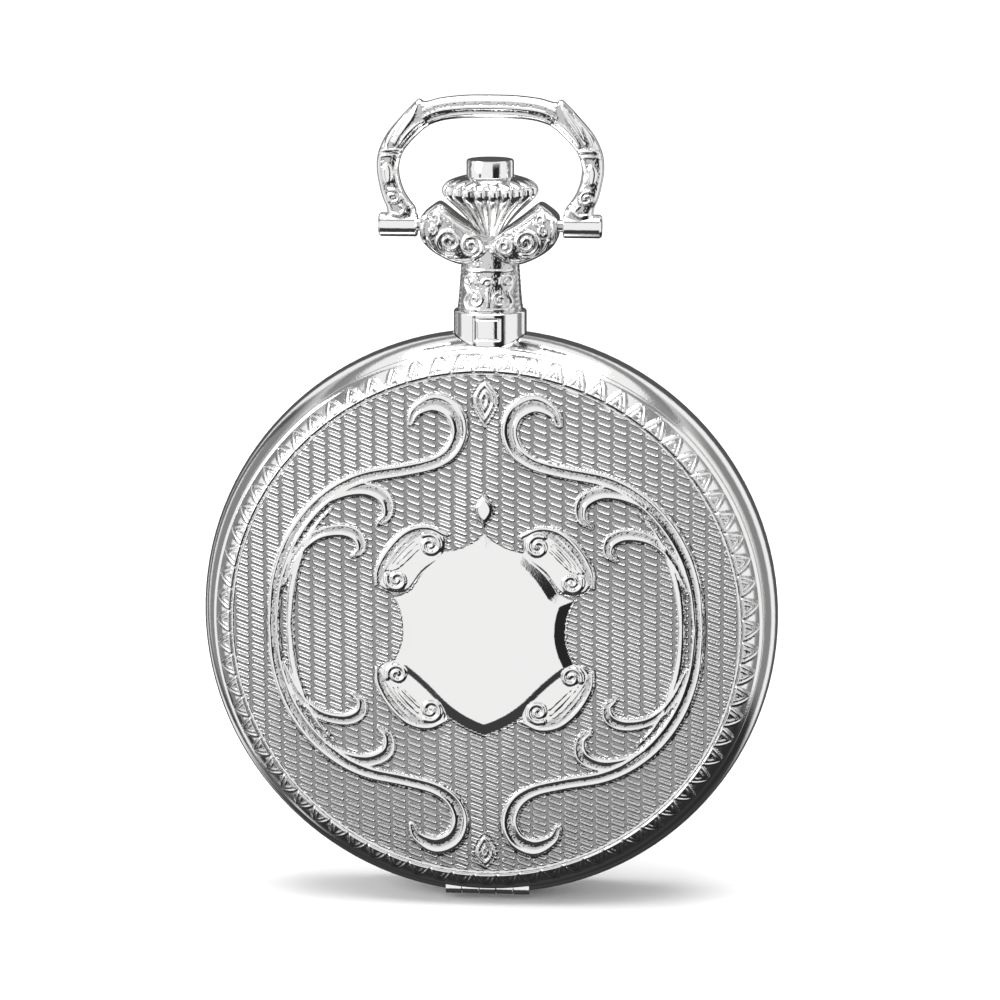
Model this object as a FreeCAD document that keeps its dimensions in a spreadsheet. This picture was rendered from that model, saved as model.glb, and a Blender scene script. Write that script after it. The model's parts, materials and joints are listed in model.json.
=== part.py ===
"""Hunter pocket watch: a hinged-cover silver case with a hand-wound lever movement.

The watch stands upright in its own frame: +X points to 3 o'clock, +Z to 12 o'clock and
the front cover faces -Y.  The origin is the middle of the flat on the back cover.  A
"level" is a distance from that flat towards the front cover, so a level L lies at Y = -L.
All lengths are millimetres.
"""
import FreeCAD, Part
import math
import operator
import os

import Sketcher

# ---------------------------------------------------------------------------
# Driving dimensions: one row of the sheet each
# ---------------------------------------------------------------------------

SIZES = {
    # case band and covers
    "CaseRadius": 24.0,
    "CaseThickness": 12.4,
    "RimInset": 1.1,
    "RimWidth": 0.9,
    "BandHeight": 6.0,
    "CoverGap": 0.05,
    "CoverThickness": 0.5,
    "CoverDomeRise": 1.2,
    "ShoulderWidth": 1.4,
    "RimBead": 0.3,
    "RimHeight": 0.25,
    "BackFlatRadius": 9.0,
    # cover hinges
    "HingeLength": 7.0,
    "HingeBarrelRadius": 0.6,
    "HingePinRadius": 0.28,
    "HingeClearance": 0.1,
    "PinClearance": 0.02,
    "HingeDepth": 0.5,
    "LeafThickness": 0.4,
    "LeafReach": 1.35,
    # bezel, crystal and dust cover
    "WallThickness": 2.3,
    "SeatWidth": 0.95,
    "SeatDepth": 0.3,
    "SlipFit": 0.05,
    "CrystalThickness": 0.5,
    "CrystalRise": 0.75,
    "BezelLip": 0.8,
    "WindowRadius": 15.0,
    "WindowGlassThickness": 0.6,
    # dial and hands
    "DialThickness": 0.35,
    "DialLift": 0.65,
    "SubdialDepth": 0.12,
    "SubdialRadius": 3.9,
    "HandThickness": 0.12,
    "MinuteHandLength": 15.6,
    "HourHandLength": 10.4,
    "SecondHandLength": 3.4,
    # pendant, bow, crown and button
    "CollarRadius": 3.05,
    "CollarHeight": 2.75,
    "NeckTopRadius": 2.3,
    "NeckBaseRadius": 2.8,
    "NeckHeight": 3.5,
    "HeadHalfWidth": 5.6,
    "HeadHalfDepth": 2.6,
    "HeadHeight": 5.4,
    "PivotHeight": 3.4,
    "BowHalfWidth": 9.36,
    "BowRise": 10.8,
    "BowBarTop": 2.1,
    "BowThickness": 2.0,
    "BowFootGap": 0.37,
    "BowScrewRadius": 0.5,
    "CrownRadius": 4.0,
    "CrownLift": 2.5,
    "CrownHeight": 5.0,
    "CrownFlutes": 20,
    "CrownClearance": 0.35,
    "ButtonRadius": 1.98,
    "ButtonStand": 1.4,
    "ButtonTravel": 0.5,
    "PullTravel": 1.0,
    "StemRadius": 0.6,
    "TubeRadius": 0.8,
    "RodRadius": 0.42,
    "LatchInset": 0.75,
    # movement layers, measured from the middle of the case
    "MovementRadius": 18.3,
    "PlateLift": 1.05,
    "PlateThickness": 1.1,
    "BridgeThickness": 0.8,
    "BridgeDrop": 0.8,
    "BridgeFoot": 1.0,
    "RatchetDrop": 0.45,
    "RatchetThickness": 0.35,
    "ClickLeft": 5.0,
    "ClickRise": 4.6,
    # gear train
    "WheelThickness": 0.2,
    "BarrelTeeth": 78,
    "CentrePinionLeaves": 12,
    "BarrelModule": 0.2,
    "CentreTeeth": 80,
    "ThirdPinionLeaves": 10,
    "CentreModule": 0.15,
    "ThirdTeeth": 75,
    "FourthPinionLeaves": 10,
    "ThirdModule": 0.13,
    "FourthTeeth": 80,
    "EscapePinionLeaves": 8,
    "FourthModule": 0.115,
    "EscapeTeeth": 15,
    "EscapeRadius": 2.3,
    "RatchetTeeth": 50,
    "CrownWheelTeeth": 38,
    "WindingPinionTeeth": 16,
    "WindingModule": 0.2,
    "CannonTeeth": 12,
    "MinuteWheelTeeth": 36,
    "MinutePinionLeaves": 10,
    "HourWheelTeeth": 40,
    "SettingTeeth": 32,
    "MotionModule": 0.16,
    "Backlash": 0.05,
    "BarrelAngle": 140.0,
    "ThirdAngle": -49.5,
    "EscapeAngle": 199.6,
    "BalanceAngle": 209.6,
    "BalanceDistance": 11.73,
    "BalanceRadius": 4.8,
    "BalanceRimWidth": 0.5,
    "PivotRadius": 0.1,
    "JewelRadius": 0.55,
    "JewelHole": 0.12,
}

DOC = FreeCAD.newDocument("hunter_pocket_watch")
SHEET = DOC.addObject("Spreadsheet::Sheet", "sizes")


def fill_sheet():
    """Write each driving dimension into the sheet as a plain number with an alias."""
    for row, (name, value) in enumerate(SIZES.items(), start=1):
        SHEET.set(f"A{row}", name)
        SHEET.set(f"B{row}", str(value))
        SHEET.setAlias(f"B{row}", name)
    DOC.recompute()


# ---------------------------------------------------------------------------
# Sizes that know the expression driving them
# ---------------------------------------------------------------------------

OPERATIONS = {"+": operator.add, "-": operator.sub, "*": operator.mul, "/": operator.truediv}


class Size:
    """A number together with the sheet expression that keeps it up to date."""

    def __init__(self, value, text=None):
        self.value = float(value)
        self.text = text if text else f"({self.value})"

    def _join(self, sign, other, swapped=False):
        other = other if isinstance(other, Size) else Size(other)
        first, second = (other, self) if swapped else (self, other)
        value = OPERATIONS[sign](first.value, second.value)
        return Size(value, f"({first.text} {sign} {second.text})")

    def __add__(self, other):
        return self._join("+", other)

    def __radd__(self, other):
        return self._join("+", other, swapped=True)

    def __sub__(self, other):
        return self._join("-", other)

    def __rsub__(self, other):
        return self._join("-", other, swapped=True)

    def __mul__(self, other):
        return self._join("*", other)

    def __rmul__(self, other):
        return self._join("*", other, swapped=True)

    def __truediv__(self, other):
        return self._join("/", other)

    def __rtruediv__(self, other):
        return self._join("/", other, swapped=True)

    def __neg__(self):
        return self._join("*", -1)


def size(name):
    """The driving dimension of that name."""
    return Size(SIZES[name], f"sizes.{name}")


def root(number):
    """Square root of a size."""
    return Size(math.sqrt(number.value), f"sqrt({number.text})")


def cosine(angle):
    """Cosine of an angle in degrees."""
    return Size(math.cos(math.radians(angle.value)), f"cos({angle.text} * 1 deg)")


def sine(angle):
    """Sine of an angle in degrees."""
    return Size(math.sin(math.radians(angle.value)), f"sin({angle.text} * 1 deg)")


def heading(along_x, along_z):
    """Direction of a step in the watch's plane, in degrees from +X towards +Z."""
    degrees = math.degrees(math.atan2(along_z.value, along_x.value))
    return Size(degrees, f"(atan2({along_z.text}; {along_x.text}) / 1 deg)")


def as_size(number):
    """The number as a Size, whichever it already was."""
    return number if isinstance(number, Size) else Size(number)


def bind(thing, name, number):
    """Drive a property of a document object by a size."""
    thing.setExpression(name, as_size(number).text)


def arc_radius(reach, rise):
    """Radius of the arc that rises by rise over a half chord of reach."""
    return (reach * reach + rise * rise) / (2 * rise)


# ---------------------------------------------------------------------------
# Sketches
# ---------------------------------------------------------------------------


def drive(sketch, kind, geometry, vertex, number):
    """Fix one coordinate of a sketch point, kind being DistanceX or DistanceY."""
    number = as_size(number)
    if abs(number.value) < 1e-9:
        axis = -2 if kind == "DistanceX" else -1
        sketch.addConstraint(Sketcher.Constraint("PointOnObject", geometry, vertex, axis))
        return
    index = sketch.addConstraint(
        Sketcher.Constraint(kind, -1, 1, geometry, vertex, number.value))
    bind(sketch, f"Constraints[{index}]", number)


def drive_radius(sketch, geometry, number):
    """Fix the radius of a circle or arc in a sketch."""
    number = as_size(number)
    index = sketch.addConstraint(Sketcher.Constraint("Radius", geometry, number.value))
    bind(sketch, f"Constraints[{index}]", number)


def arc_between(start, end, radius):
    """Counter-clockwise sketch arc between two points, and whether it runs end to start.

    A positive radius bulges to the left of the way from start to end.
    """
    chord = end - start
    middle = (start + end) * 0.5
    left = FreeCAD.Vector(-chord.y, chord.x, 0).normalize()
    offset = math.sqrt(max(radius * radius - chord.Length ** 2 / 4, 0.0))
    centre = middle - left * math.copysign(offset, radius)
    backwards = radius > 0
    first, last = (end, start) if backwards else (start, end)
    angles = [math.atan2(p.y - centre.y, p.x - centre.x) for p in (first, last)]
    circle = Part.Circle(centre, FreeCAD.Vector(0, 0, 1), abs(radius))
    return Part.ArcOfCircle(circle, angles[0], angles[1]), backwards


def draw_loop(sketch, corners):
    """Closed outline through corners (u, v) or (u, v, radius of the arc to the next)."""
    points = [FreeCAD.Vector(as_size(c[0]).value, as_size(c[1]).value, 0) for c in corners]
    ends = []
    for index, corner in enumerate(corners):
        start = points[index]
        end = points[(index + 1) % len(points)]
        if len(corner) == 3:
            shape, backwards = arc_between(start, end, as_size(corner[2]).value)
        else:
            shape, backwards = Part.LineSegment(start, end), False
        geometry = sketch.addGeometry(shape, False)
        ends.append((geometry, 2, 1) if backwards else (geometry, 1, 2))
    for index, corner in enumerate(corners):
        geometry, head, tail = ends[index]
        following, next_head, _ = ends[(index + 1) % len(ends)]
        sketch.addConstraint(
            Sketcher.Constraint("Coincident", geometry, tail, following, next_head))
        drive(sketch, "DistanceX", geometry, head, corner[0])
        drive(sketch, "DistanceY", geometry, head, corner[1])
        if len(corner) == 3:
            radius = as_size(corner[2])
            drive_radius(sketch, geometry, radius if radius.value > 0 else -radius)


def draw_circle(sketch, u, v, radius):
    """Circle of a sketch, centred at (u, v)."""
    centre = FreeCAD.Vector(as_size(u).value, as_size(v).value, 0)
    circle = Part.Circle(centre, FreeCAD.Vector(0, 0, 1), as_size(radius).value)
    geometry = sketch.addGeometry(circle, False)
    drive(sketch, "DistanceX", geometry, 3, u)
    drive(sketch, "DistanceY", geometry, 3, v)
    drive_radius(sketch, geometry, radius)


class Ring:
    """A full circle used as one loop of an outline."""

    def __init__(self, u, v, radius):
        self.u = u
        self.v = v
        self.radius = radius


def box_loop(u_low, v_low, u_high, v_high):
    """Corners of a rectangle."""
    return [(u_low, v_low), (u_high, v_low), (u_high, v_high), (u_low, v_high)]


# ---------------------------------------------------------------------------
# Pieces
# ---------------------------------------------------------------------------

PIECES = {}


class Piece:
    """One separate piece of the watch: a body whose features are driven by the sheet."""

    def __init__(self, label, x=0.0, z=0.0):
        self.body = DOC.addObject("PartDesign::Body", label)
        self.body.Label = label
        bind(self.body, "Placement.Base.x", x)
        bind(self.body, "Placement.Base.z", z)
        PIECES[label] = self.body

    def sketch(self, loops, plane="XZ_Plane", offset=(0, 0, 0), turn=0):
        """Attach a sketch to one of the body's own origin planes and draw the loops."""
        sketch = self.body.newObject("Sketcher::SketchObject", f"{self.body.Label}_sketch")
        planes = {f.Role: f for f in self.body.Origin.OriginFeatures}
        sketch.AttachmentSupport = [(planes[plane], "")]
        sketch.MapMode = "FlatFace"
        place = FreeCAD.Vector(*[as_size(number).value for number in offset])
        spin = FreeCAD.Rotation(FreeCAD.Vector(0, 0, 1), as_size(turn).value)
        sketch.AttachmentOffset = FreeCAD.Placement(place, spin)
        for axis, number in zip("xyz", offset):
            bind(sketch, f"AttachmentOffset.Base.{axis}", number)
        if isinstance(turn, Size):
            bind(sketch, "AttachmentOffset.Rotation.Angle", turn)
        for loop in loops:
            if isinstance(loop, Ring):
                draw_circle(sketch, loop.u, loop.v, loop.radius)
            else:
                draw_loop(sketch, loop)
        return sketch

    def revolve(self, sketch, axis, cut):
        """Revolve a sketch about its own V or H axis, adding or removing material."""
        kind = "Groove" if cut else "Revolution"
        feature = self.body.newObject(f"PartDesign::{kind}", f"{self.body.Label}_{kind}")
        feature.Profile = sketch
        feature.ReferenceAxis = (sketch, [axis])
        feature.Angle = 360
        return feature

    def turn(self, corners, cut=False):
        """Turned about the watch's axis: corners are (radius, level)."""
        mirrored = [(c[0], -as_size(c[1])) + tuple(-as_size(r) for r in c[2:]) for c in corners]
        sketch = self.sketch([mirrored], plane="XY_Plane")
        return self.revolve(sketch, "V_Axis", cut)

    def turn_on_stem(self, corners, cut=False):
        """Turned about the stem: corners are (radius, height above the case centre)."""
        sketch = self.sketch([corners], offset=(0, 0, STEM))
        return self.revolve(sketch, "V_Axis", cut)

    def turn_across(self, loops, height, level, cut=False):
        """Turned about a line along X at that height and level: corners are (x, radius)."""
        sketch = self.sketch(loops, offset=(0, height, level))
        return self.revolve(sketch, "H_Axis", cut)

    def pad(self, loops, low, high, turn=0, cut=False):
        """Flat plate between two levels, from loops of (x, z), or the same shape cut away."""
        low = as_size(low)
        sketch = self.sketch(loops, offset=(0, 0, low), turn=turn)
        kind = "Pocket" if cut else "Pad"
        feature = self.body.newObject(f"PartDesign::{kind}", f"{self.body.Label}_{kind}")
        feature.Profile = sketch
        bind(feature, "Length", high - low)
        feature.Reversed = cut
        return feature

    def pad_on_stem(self, loops, low, high, turn=0, cut=False):
        """Prism along the stem between two heights, from loops of (x, y)."""
        sketch = self.sketch(loops, plane="XY_Plane", offset=(0, -STEM, low), turn=turn)
        kind = "Pocket" if cut else "Pad"
        feature = self.body.newObject(f"PartDesign::{kind}", f"{self.body.Label}_{kind}")
        feature.Profile = sketch
        bind(feature, "Length", high - low)
        feature.Reversed = cut
        return feature

    def repeat(self, feature, sketch, count):
        """Repeat a feature evenly about the normal through its sketch's origin."""
        pattern = self.body.newObject(
            "PartDesign::PolarPattern", f"{self.body.Label}_pattern")
        pattern.Originals = [feature]
        pattern.Axis = (sketch, ["N_Axis"])
        pattern.Angle = 360
        bind(pattern, "Occurrences", count)
        self.body.Tip = pattern

    def teeth(self, gear, low, high, phase, prism=None):
        """Cut the tooth gaps of a gear whose blank already stands between two levels."""
        prism = prism or self.pad
        margin = gear.module * 0.3
        corners = [
            (gear.root_radius, -gear.root_gap),
            (gear.pitch_radius, -gear.pitch_gap),
            (gear.tip_radius + margin, -gear.tip_gap),
            (gear.tip_radius + margin, gear.tip_gap),
            (gear.pitch_radius, gear.pitch_gap),
            (gear.root_radius, gear.root_gap),
        ]
        gap = prism([corners], low, high, turn=phase, cut=True)
        self.repeat(gap, gap.Profile[0], gear.count)

    def gear(self, gear, low, high, phase, bore=None):
        """A toothed disc between two levels."""
        loops = [Ring(0, 0, gear.tip_radius)]
        if bore is not None:
            loops.append(Ring(0, 0, bore))
        self.pad(loops, low, high)
        self.teeth(gear, low, high, phase)

    def windows(self, count, inner, outer, low, high, half_angle):
        """Cut evenly spaced windows that leave the wheel's arms standing."""
        cosine_half = math.cos(math.radians(half_angle))
        sine_half = math.sin(math.radians(half_angle))
        corners = [
            (inner * cosine_half, -(inner * sine_half), inner * 4),
            (inner * cosine_half, inner * sine_half),
            (outer * cosine_half, outer * sine_half, outer),
            (outer * cosine_half, -(outer * sine_half)),
        ]
        window = self.pad([corners], low, high, cut=True)
        self.repeat(window, window.Profile[0], count)


class Gear:
    """Tooth sizes of one gear from its module and tooth count."""

    def __init__(self, count, module):
        self.count = count
        self.module = module
        self.pitch_radius = module * count / 2
        self.tip_radius = self.pitch_radius + module * 0.95
        self.root_radius = self.pitch_radius - module * 1.2
        half_gap = module * (math.pi / 4) + size("Backlash") / 4
        self.pitch_gap = half_gap
        self.tip_gap = half_gap + module * 0.42
        self.root_gap = half_gap - module * 0.3

    def pitch_angle(self):
        """Angle between neighbouring teeth, in degrees."""
        return 360 / self.count

    def tooth_at(self, angle):
        """Phase that puts a tooth at that angle."""
        return angle + 180 / self.count

    def phase_with(self, partner, partner_phase, direction):
        """Phase that meshes with a partner seen along direction from the partner's centre."""
        shift = (direction - partner_phase) / partner.pitch_angle() + 0.5
        return direction + 180 + shift * self.pitch_angle()


def distance(first, second):
    """Centre distance of two gears in mesh."""
    return first.pitch_radius + second.pitch_radius


# ---------------------------------------------------------------------------
# Derived sizes
# ---------------------------------------------------------------------------

CASE_RADIUS = size("CaseRadius")
MIDDLE_LEVEL = size("CaseThickness") / 2
RIM_RADIUS = CASE_RADIUS - size("RimInset")
BAND_FRONT = MIDDLE_LEVEL + size("BandHeight") / 2
BAND_BACK = MIDDLE_LEVEL - size("BandHeight") / 2
BAND_ARC = arc_radius(size("BandHeight") / 2, size("RimInset"))
SHOULDER_RADIUS = RIM_RADIUS - size("RimBead")
DOME_RADIUS = SHOULDER_RADIUS - size("ShoulderWidth")
INNER_RIM = RIM_RADIUS - size("RimWidth")
BORE_RADIUS = RIM_RADIUS - size("WallThickness")
SEAT_RADIUS = BORE_RADIUS + size("SeatWidth")
HINGE_HEIGHT = -(RIM_RADIUS + size("CoverGap"))
FRONT_HINGE = BAND_FRONT - size("HingeDepth")
BACK_HINGE = BAND_BACK + size("HingeDepth")
STEM = MIDDLE_LEVEL
PLATE_BACK = STEM + size("PlateLift")
PLATE_FRONT = PLATE_BACK + size("PlateThickness")
BRIDGE_FRONT = STEM - size("BridgeDrop")
BRIDGE_BACK = BRIDGE_FRONT - size("BridgeThickness")
RATCHET_BACK = BRIDGE_BACK - size("RatchetDrop")
RATCHET_FRONT = RATCHET_BACK + size("RatchetThickness")
DIAL_BACK = PLATE_FRONT + size("DialLift")
DIAL_FRONT = DIAL_BACK + size("DialThickness")
HAND_BASE = DIAL_FRONT + 0.2
MOTION_BACK = PLATE_FRONT + 0.05
PENDANT_SEAT = RIM_RADIUS + size("CoverGap")
COLLAR_TOP = PENDANT_SEAT + size("CollarHeight")
NECK_TOP = COLLAR_TOP + size("NeckHeight")
HEAD_TOP = NECK_TOP + size("HeadHeight")
BOW_PIVOT = NECK_TOP + size("PivotHeight")
BOW_TOP = BOW_PIVOT + size("BowRise")
CROWN_BOTTOM = NECK_TOP + size("CrownLift")
CROWN_TOP = CROWN_BOTTOM + size("CrownHeight")
BUTTON_TOP = CROWN_TOP + size("ButtonStand")
LATCH_TOP = PENDANT_SEAT - size("LatchInset")

BARREL = Gear(size("BarrelTeeth"), size("BarrelModule"))
CENTRE_PINION = Gear(size("CentrePinionLeaves"), size("BarrelModule"))
CENTRE = Gear(size("CentreTeeth"), size("CentreModule"))
THIRD_PINION = Gear(size("ThirdPinionLeaves"), size("CentreModule"))
THIRD = Gear(size("ThirdTeeth"), size("ThirdModule"))
FOURTH_PINION = Gear(size("FourthPinionLeaves"), size("ThirdModule"))
FOURTH = Gear(size("FourthTeeth"), size("FourthModule"))
ESCAPE_PINION = Gear(size("EscapePinionLeaves"), size("FourthModule"))
RATCHET = Gear(size("RatchetTeeth"), size("WindingModule"))
CROWN_WHEEL = Gear(size("CrownWheelTeeth"), size("WindingModule"))
WINDING_PINION = Gear(size("WindingPinionTeeth"), size("WindingModule"))
CANNON = Gear(size("CannonTeeth"), size("MotionModule"))
MINUTE_WHEEL = Gear(size("MinuteWheelTeeth"), size("MotionModule"))
MOTION_DISTANCE = distance(CANNON, MINUTE_WHEEL)
HOUR_MODULE = 2 * MOTION_DISTANCE / (size("MinutePinionLeaves") + size("HourWheelTeeth"))
MINUTE_PINION = Gear(size("MinutePinionLeaves"), HOUR_MODULE)
HOUR_WHEEL = Gear(size("HourWheelTeeth"), HOUR_MODULE)
SETTING = Gear(size("SettingTeeth"), size("MotionModule"))

BARREL_ANGLE = size("BarrelAngle")
BARREL_X = distance(BARREL, CENTRE_PINION) * cosine(BARREL_ANGLE)
BARREL_Z = distance(BARREL, CENTRE_PINION) * sine(BARREL_ANGLE)
THIRD_ANGLE = size("ThirdAngle")
THIRD_X = distance(CENTRE, THIRD_PINION) * cosine(THIRD_ANGLE)
THIRD_Z = distance(CENTRE, THIRD_PINION) * sine(THIRD_ANGLE)
FOURTH_X = Size(0)
FOURTH_Z = THIRD_Z - root(distance(THIRD, FOURTH_PINION) * distance(THIRD, FOURTH_PINION)
                          - THIRD_X * THIRD_X)
ESCAPE_ANGLE = size("EscapeAngle")
ESCAPE_X = FOURTH_X + distance(FOURTH, ESCAPE_PINION) * cosine(ESCAPE_ANGLE)
ESCAPE_Z = FOURTH_Z + distance(FOURTH, ESCAPE_PINION) * sine(ESCAPE_ANGLE)
BALANCE_X = size("BalanceDistance") * cosine(size("BalanceAngle"))
BALANCE_Z = size("BalanceDistance") * sine(size("BalanceAngle"))
CROWN_WHEEL_Z = BARREL_Z + root(distance(RATCHET, CROWN_WHEEL) * distance(RATCHET, CROWN_WHEEL)
                                - BARREL_X * BARREL_X)
PINION_HEIGHT = CROWN_WHEEL_Z + CROWN_WHEEL.pitch_radius
MINUTE_Z = MOTION_DISTANCE
SETTING_Z = MINUTE_Z + distance(MINUTE_WHEEL, SETTING)


# ---------------------------------------------------------------------------
# Case: band, covers, bezel and glasses
# ---------------------------------------------------------------------------


def hinge_spans():
    """X spans of the hinge barrels, as (case spans, cover spans)."""
    half = size("HingeLength") / 2
    inner = size("HingeLength") / 10
    outer = half * 0.62
    gap = size("CoverGap")
    case = [(-half, -outer - gap), (-inner + gap, inner - gap), (outer + gap, half)]
    cover = [(-outer, -inner), (inner, outer)]
    return case, cover


def barrel_loops(spans, radius, margin=0.0):
    """Half sections of hinge barrels over the spans."""
    loops = []
    for low, high in spans:
        loops.append([(low - margin, 0), (high + margin, 0),
                      (high + margin, radius), (low - margin, radius)])
    return loops


def make_case_middle():
    """Band with its bore, cover seats, hinge barrels and the seat for the pendant."""
    piece = Piece("case_middle")
    seat_front = BAND_FRONT - size("SeatDepth")
    seat_back = BAND_BACK + size("SeatDepth")
    piece.turn([
        (BORE_RADIUS, seat_back),
        (SEAT_RADIUS, seat_back),
        (SEAT_RADIUS, BAND_BACK),
        (RIM_RADIUS, BAND_BACK, -BAND_ARC),
        (RIM_RADIUS, BAND_FRONT),
        (SEAT_RADIUS, BAND_FRONT),
        (SEAT_RADIUS, seat_front),
        (BORE_RADIUS, seat_front),
    ])
    case_spans, cover_spans = hinge_spans()
    radius = size("HingeBarrelRadius")
    room = radius + size("HingeClearance")
    hole = size("HingePinRadius") + size("PinClearance")
    half = size("HingeLength") / 2
    for level in (FRONT_HINGE, BACK_HINGE):
        piece.turn_across(barrel_loops(case_spans, radius), HINGE_HEIGHT, level)
        piece.turn_across(
            barrel_loops(cover_spans, room, size("CoverGap")), HINGE_HEIGHT, level, cut=True)
        piece.turn_across(barrel_loops([(-half, half)], hole), HINGE_HEIGHT, level, cut=True)
    collar_room = size("CollarRadius") + size("SlipFit")
    seat = PENDANT_SEAT
    piece.turn_on_stem(
        [(0, seat), (collar_room, seat), (collar_room, CASE_RADIUS + 1), (0, CASE_RADIUS + 1)],
        cut=True)
    chamber = LATCH.chamber_top
    piece.turn_on_stem(
        [(0, chamber - 1), (PUSH_ROOM, chamber - 1), (PUSH_ROOM, seat + 0.5), (0, seat + 0.5)],
        cut=True)
    room_half = LATCH.half_width + LATCH.play
    piece.pad([box_loop(-room_half, LATCH.chamber_bottom, room_half, chamber)],
              LATCH.back - LATCH.play, LATCH.front + LATCH.play, cut=True)
    arm_half = LATCH.arm_half_width + LATCH.play
    piece.pad([box_loop(-arm_half, LATCH.arm_room_bottom, arm_half, LATCH.arm_top + LATCH.play)],
              LATCH.front - 0.5, BAND_FRONT + 0.5, cut=True)


class Latch:
    """Sizes of the sliding latch under the pendant, shared by what it passes through."""

    def __init__(self):
        self.top = LATCH_TOP
        self.play = 0.2
        self.travel = size("ButtonTravel") * 0.8
        self.bottom = self.top - 1.0
        self.half_width = 2.4
        self.back = STEM - 1.3
        self.front = STEM + 1.5
        self.arm_half_width = 1.4
        self.arm_top = INNER_RIM - self.play
        self.arm_bottom = self.arm_top - 0.25
        self.arm_front = BAND_FRONT + 0.5
        self.chamber_top = self.top + 0.15
        self.chamber_bottom = self.bottom - self.travel - self.play * 2
        self.arm_room_bottom = self.arm_bottom - self.travel - 0.1


LATCH = Latch()
PUSH_ROOM = 1.75


def make_latch():
    """Fork round the stem with an arm that reaches up beside the front cover's rim."""
    piece = Piece("cover_latch")
    piece.pad([box_loop(-LATCH.half_width, LATCH.bottom, LATCH.half_width, LATCH.top)],
              LATCH.back, LATCH.front)
    piece.pad([box_loop(-LATCH.arm_half_width, LATCH.arm_bottom,
                        LATCH.arm_half_width, LATCH.arm_top)],
              LATCH.front - 0.5, LATCH.arm_front)
    passage = size("TubeRadius") + 0.15
    piece.turn_on_stem([(0, LATCH.bottom - 1), (passage, LATCH.bottom - 1),
                        (passage, LATCH.top + 1), (0, LATCH.top + 1)], cut=True)


def front_cover_section():
    """Section of the front cover as (radius, level): rim, bead, shoulder and dome."""
    wall = size("CoverThickness")
    flat = size("BackFlatRadius")
    top = size("CaseThickness")
    foot = BAND_FRONT + size("CoverGap")
    bead = foot + size("RimHeight")
    shoulder = bead + size("RimBead")
    dome = top - size("CoverDomeRise")
    inner_dome = DOME_RADIUS - 0.3
    rise = size("CoverDomeRise")
    return [
        (0, top - wall),
        (0, top),
        (flat, top, arc_radius(DOME_RADIUS - flat, rise)),
        (DOME_RADIUS, dome),
        (SHOULDER_RADIUS, shoulder),
        (RIM_RADIUS, bead),
        (RIM_RADIUS, foot),
        (INNER_RIM, foot),
        (INNER_RIM, shoulder - 0.2),
        (inner_dome, dome - wall, -arc_radius(inner_dome - flat, rise)),
        (flat, top - wall),
    ]


def mirror_levels(corners):
    """The same section seen from the back of the case."""
    thickness = size("CaseThickness")
    return [(c[0], thickness - c[1]) + tuple(-radius for radius in c[2:]) for c in corners]


def add_cover_hinge(piece, hinge_level, leaf_low, leaf_high):
    """Leaves and barrels of a cover, with room round the case's own barrels."""
    case_spans, cover_spans = hinge_spans()
    radius = size("HingeBarrelRadius")
    room = radius + size("HingeClearance")
    hole = size("HingePinRadius") + size("PinClearance")
    half = size("HingeLength") / 2
    inner_edge = HINGE_HEIGHT + size("LeafReach")
    leaves = [box_loop(low, HINGE_HEIGHT, high, inner_edge) for low, high in cover_spans]
    piece.pad(leaves, leaf_low, leaf_high)
    piece.turn_across(barrel_loops(cover_spans, radius), HINGE_HEIGHT, hinge_level)
    piece.turn_across(
        barrel_loops(case_spans, room, size("CoverGap")), HINGE_HEIGHT, hinge_level, cut=True)
    piece.turn_across(barrel_loops([(-half, half)], hole), HINGE_HEIGHT, hinge_level, cut=True)


def make_covers():
    """Front and back covers, alike but for the side they close."""
    leaf = size("LeafThickness")
    foot_front = BAND_FRONT + size("CoverGap")
    foot_back = BAND_BACK - size("CoverGap")
    front = Piece("front_cover")
    front.turn(front_cover_section())
    add_cover_hinge(front, FRONT_HINGE, foot_front, foot_front + leaf)
    back = Piece("back_cover")
    back.turn(mirror_levels(front_cover_section()))
    add_cover_hinge(back, BACK_HINGE, foot_back - leaf, foot_back)


def make_hinge_pins():
    """One steel pin through each hinge."""
    half = size("HingeLength") / 2
    for label, level in (("front_hinge_pin", FRONT_HINGE), ("back_hinge_pin", BACK_HINGE)):
        piece = Piece(label)
        piece.turn_across(
            barrel_loops([(-half, half)], size("HingePinRadius")), HINGE_HEIGHT, level)


def make_bezel_and_crystal():
    """Ring snapped into the front seat, holding the domed crystal over the dial."""
    slip = size("SlipFit")
    seat_level = BAND_FRONT - size("SeatDepth")
    lip_level = DIAL_FRONT + 0.03
    ledge = lip_level + 0.33
    edge_radius = BORE_RADIUS - 0.25
    lip_radius = BORE_RADIUS - size("BezelLip")
    outer = SEAT_RADIUS - slip
    bezel = Piece("bezel")
    bezel.turn([
        (lip_radius, lip_level),
        (lip_radius, ledge),
        (edge_radius, ledge),
        (edge_radius, ledge + 0.5),
        (edge_radius + 0.25, ledge + 0.6),
        (outer - 0.35, ledge + 0.3),
        (outer, ledge - 0.1),
        (outer, seat_level),
        (BORE_RADIUS + slip, seat_level),
        (BORE_RADIUS + slip, lip_level),
    ])
    notch = LATCH.arm_half_width + LATCH.play
    bezel.pad([box_loop(-notch, LATCH.arm_room_bottom, notch, SEAT_RADIUS + 1)],
              seat_level - 0.5, ledge + 1.5, cut=True)
    crystal = Piece("crystal")
    thickness = size("CrystalThickness")
    rise = size("CrystalRise")
    rim = edge_radius - slip
    flat_edge = lip_radius - 0.2
    crystal.turn([
        (0, ledge + rise),
        (0, ledge + rise + thickness, arc_radius(rim, rise)),
        (rim, ledge + thickness),
        (rim, ledge),
        (flat_edge, ledge, -arc_radius(flat_edge, rise)),
    ])


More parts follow.
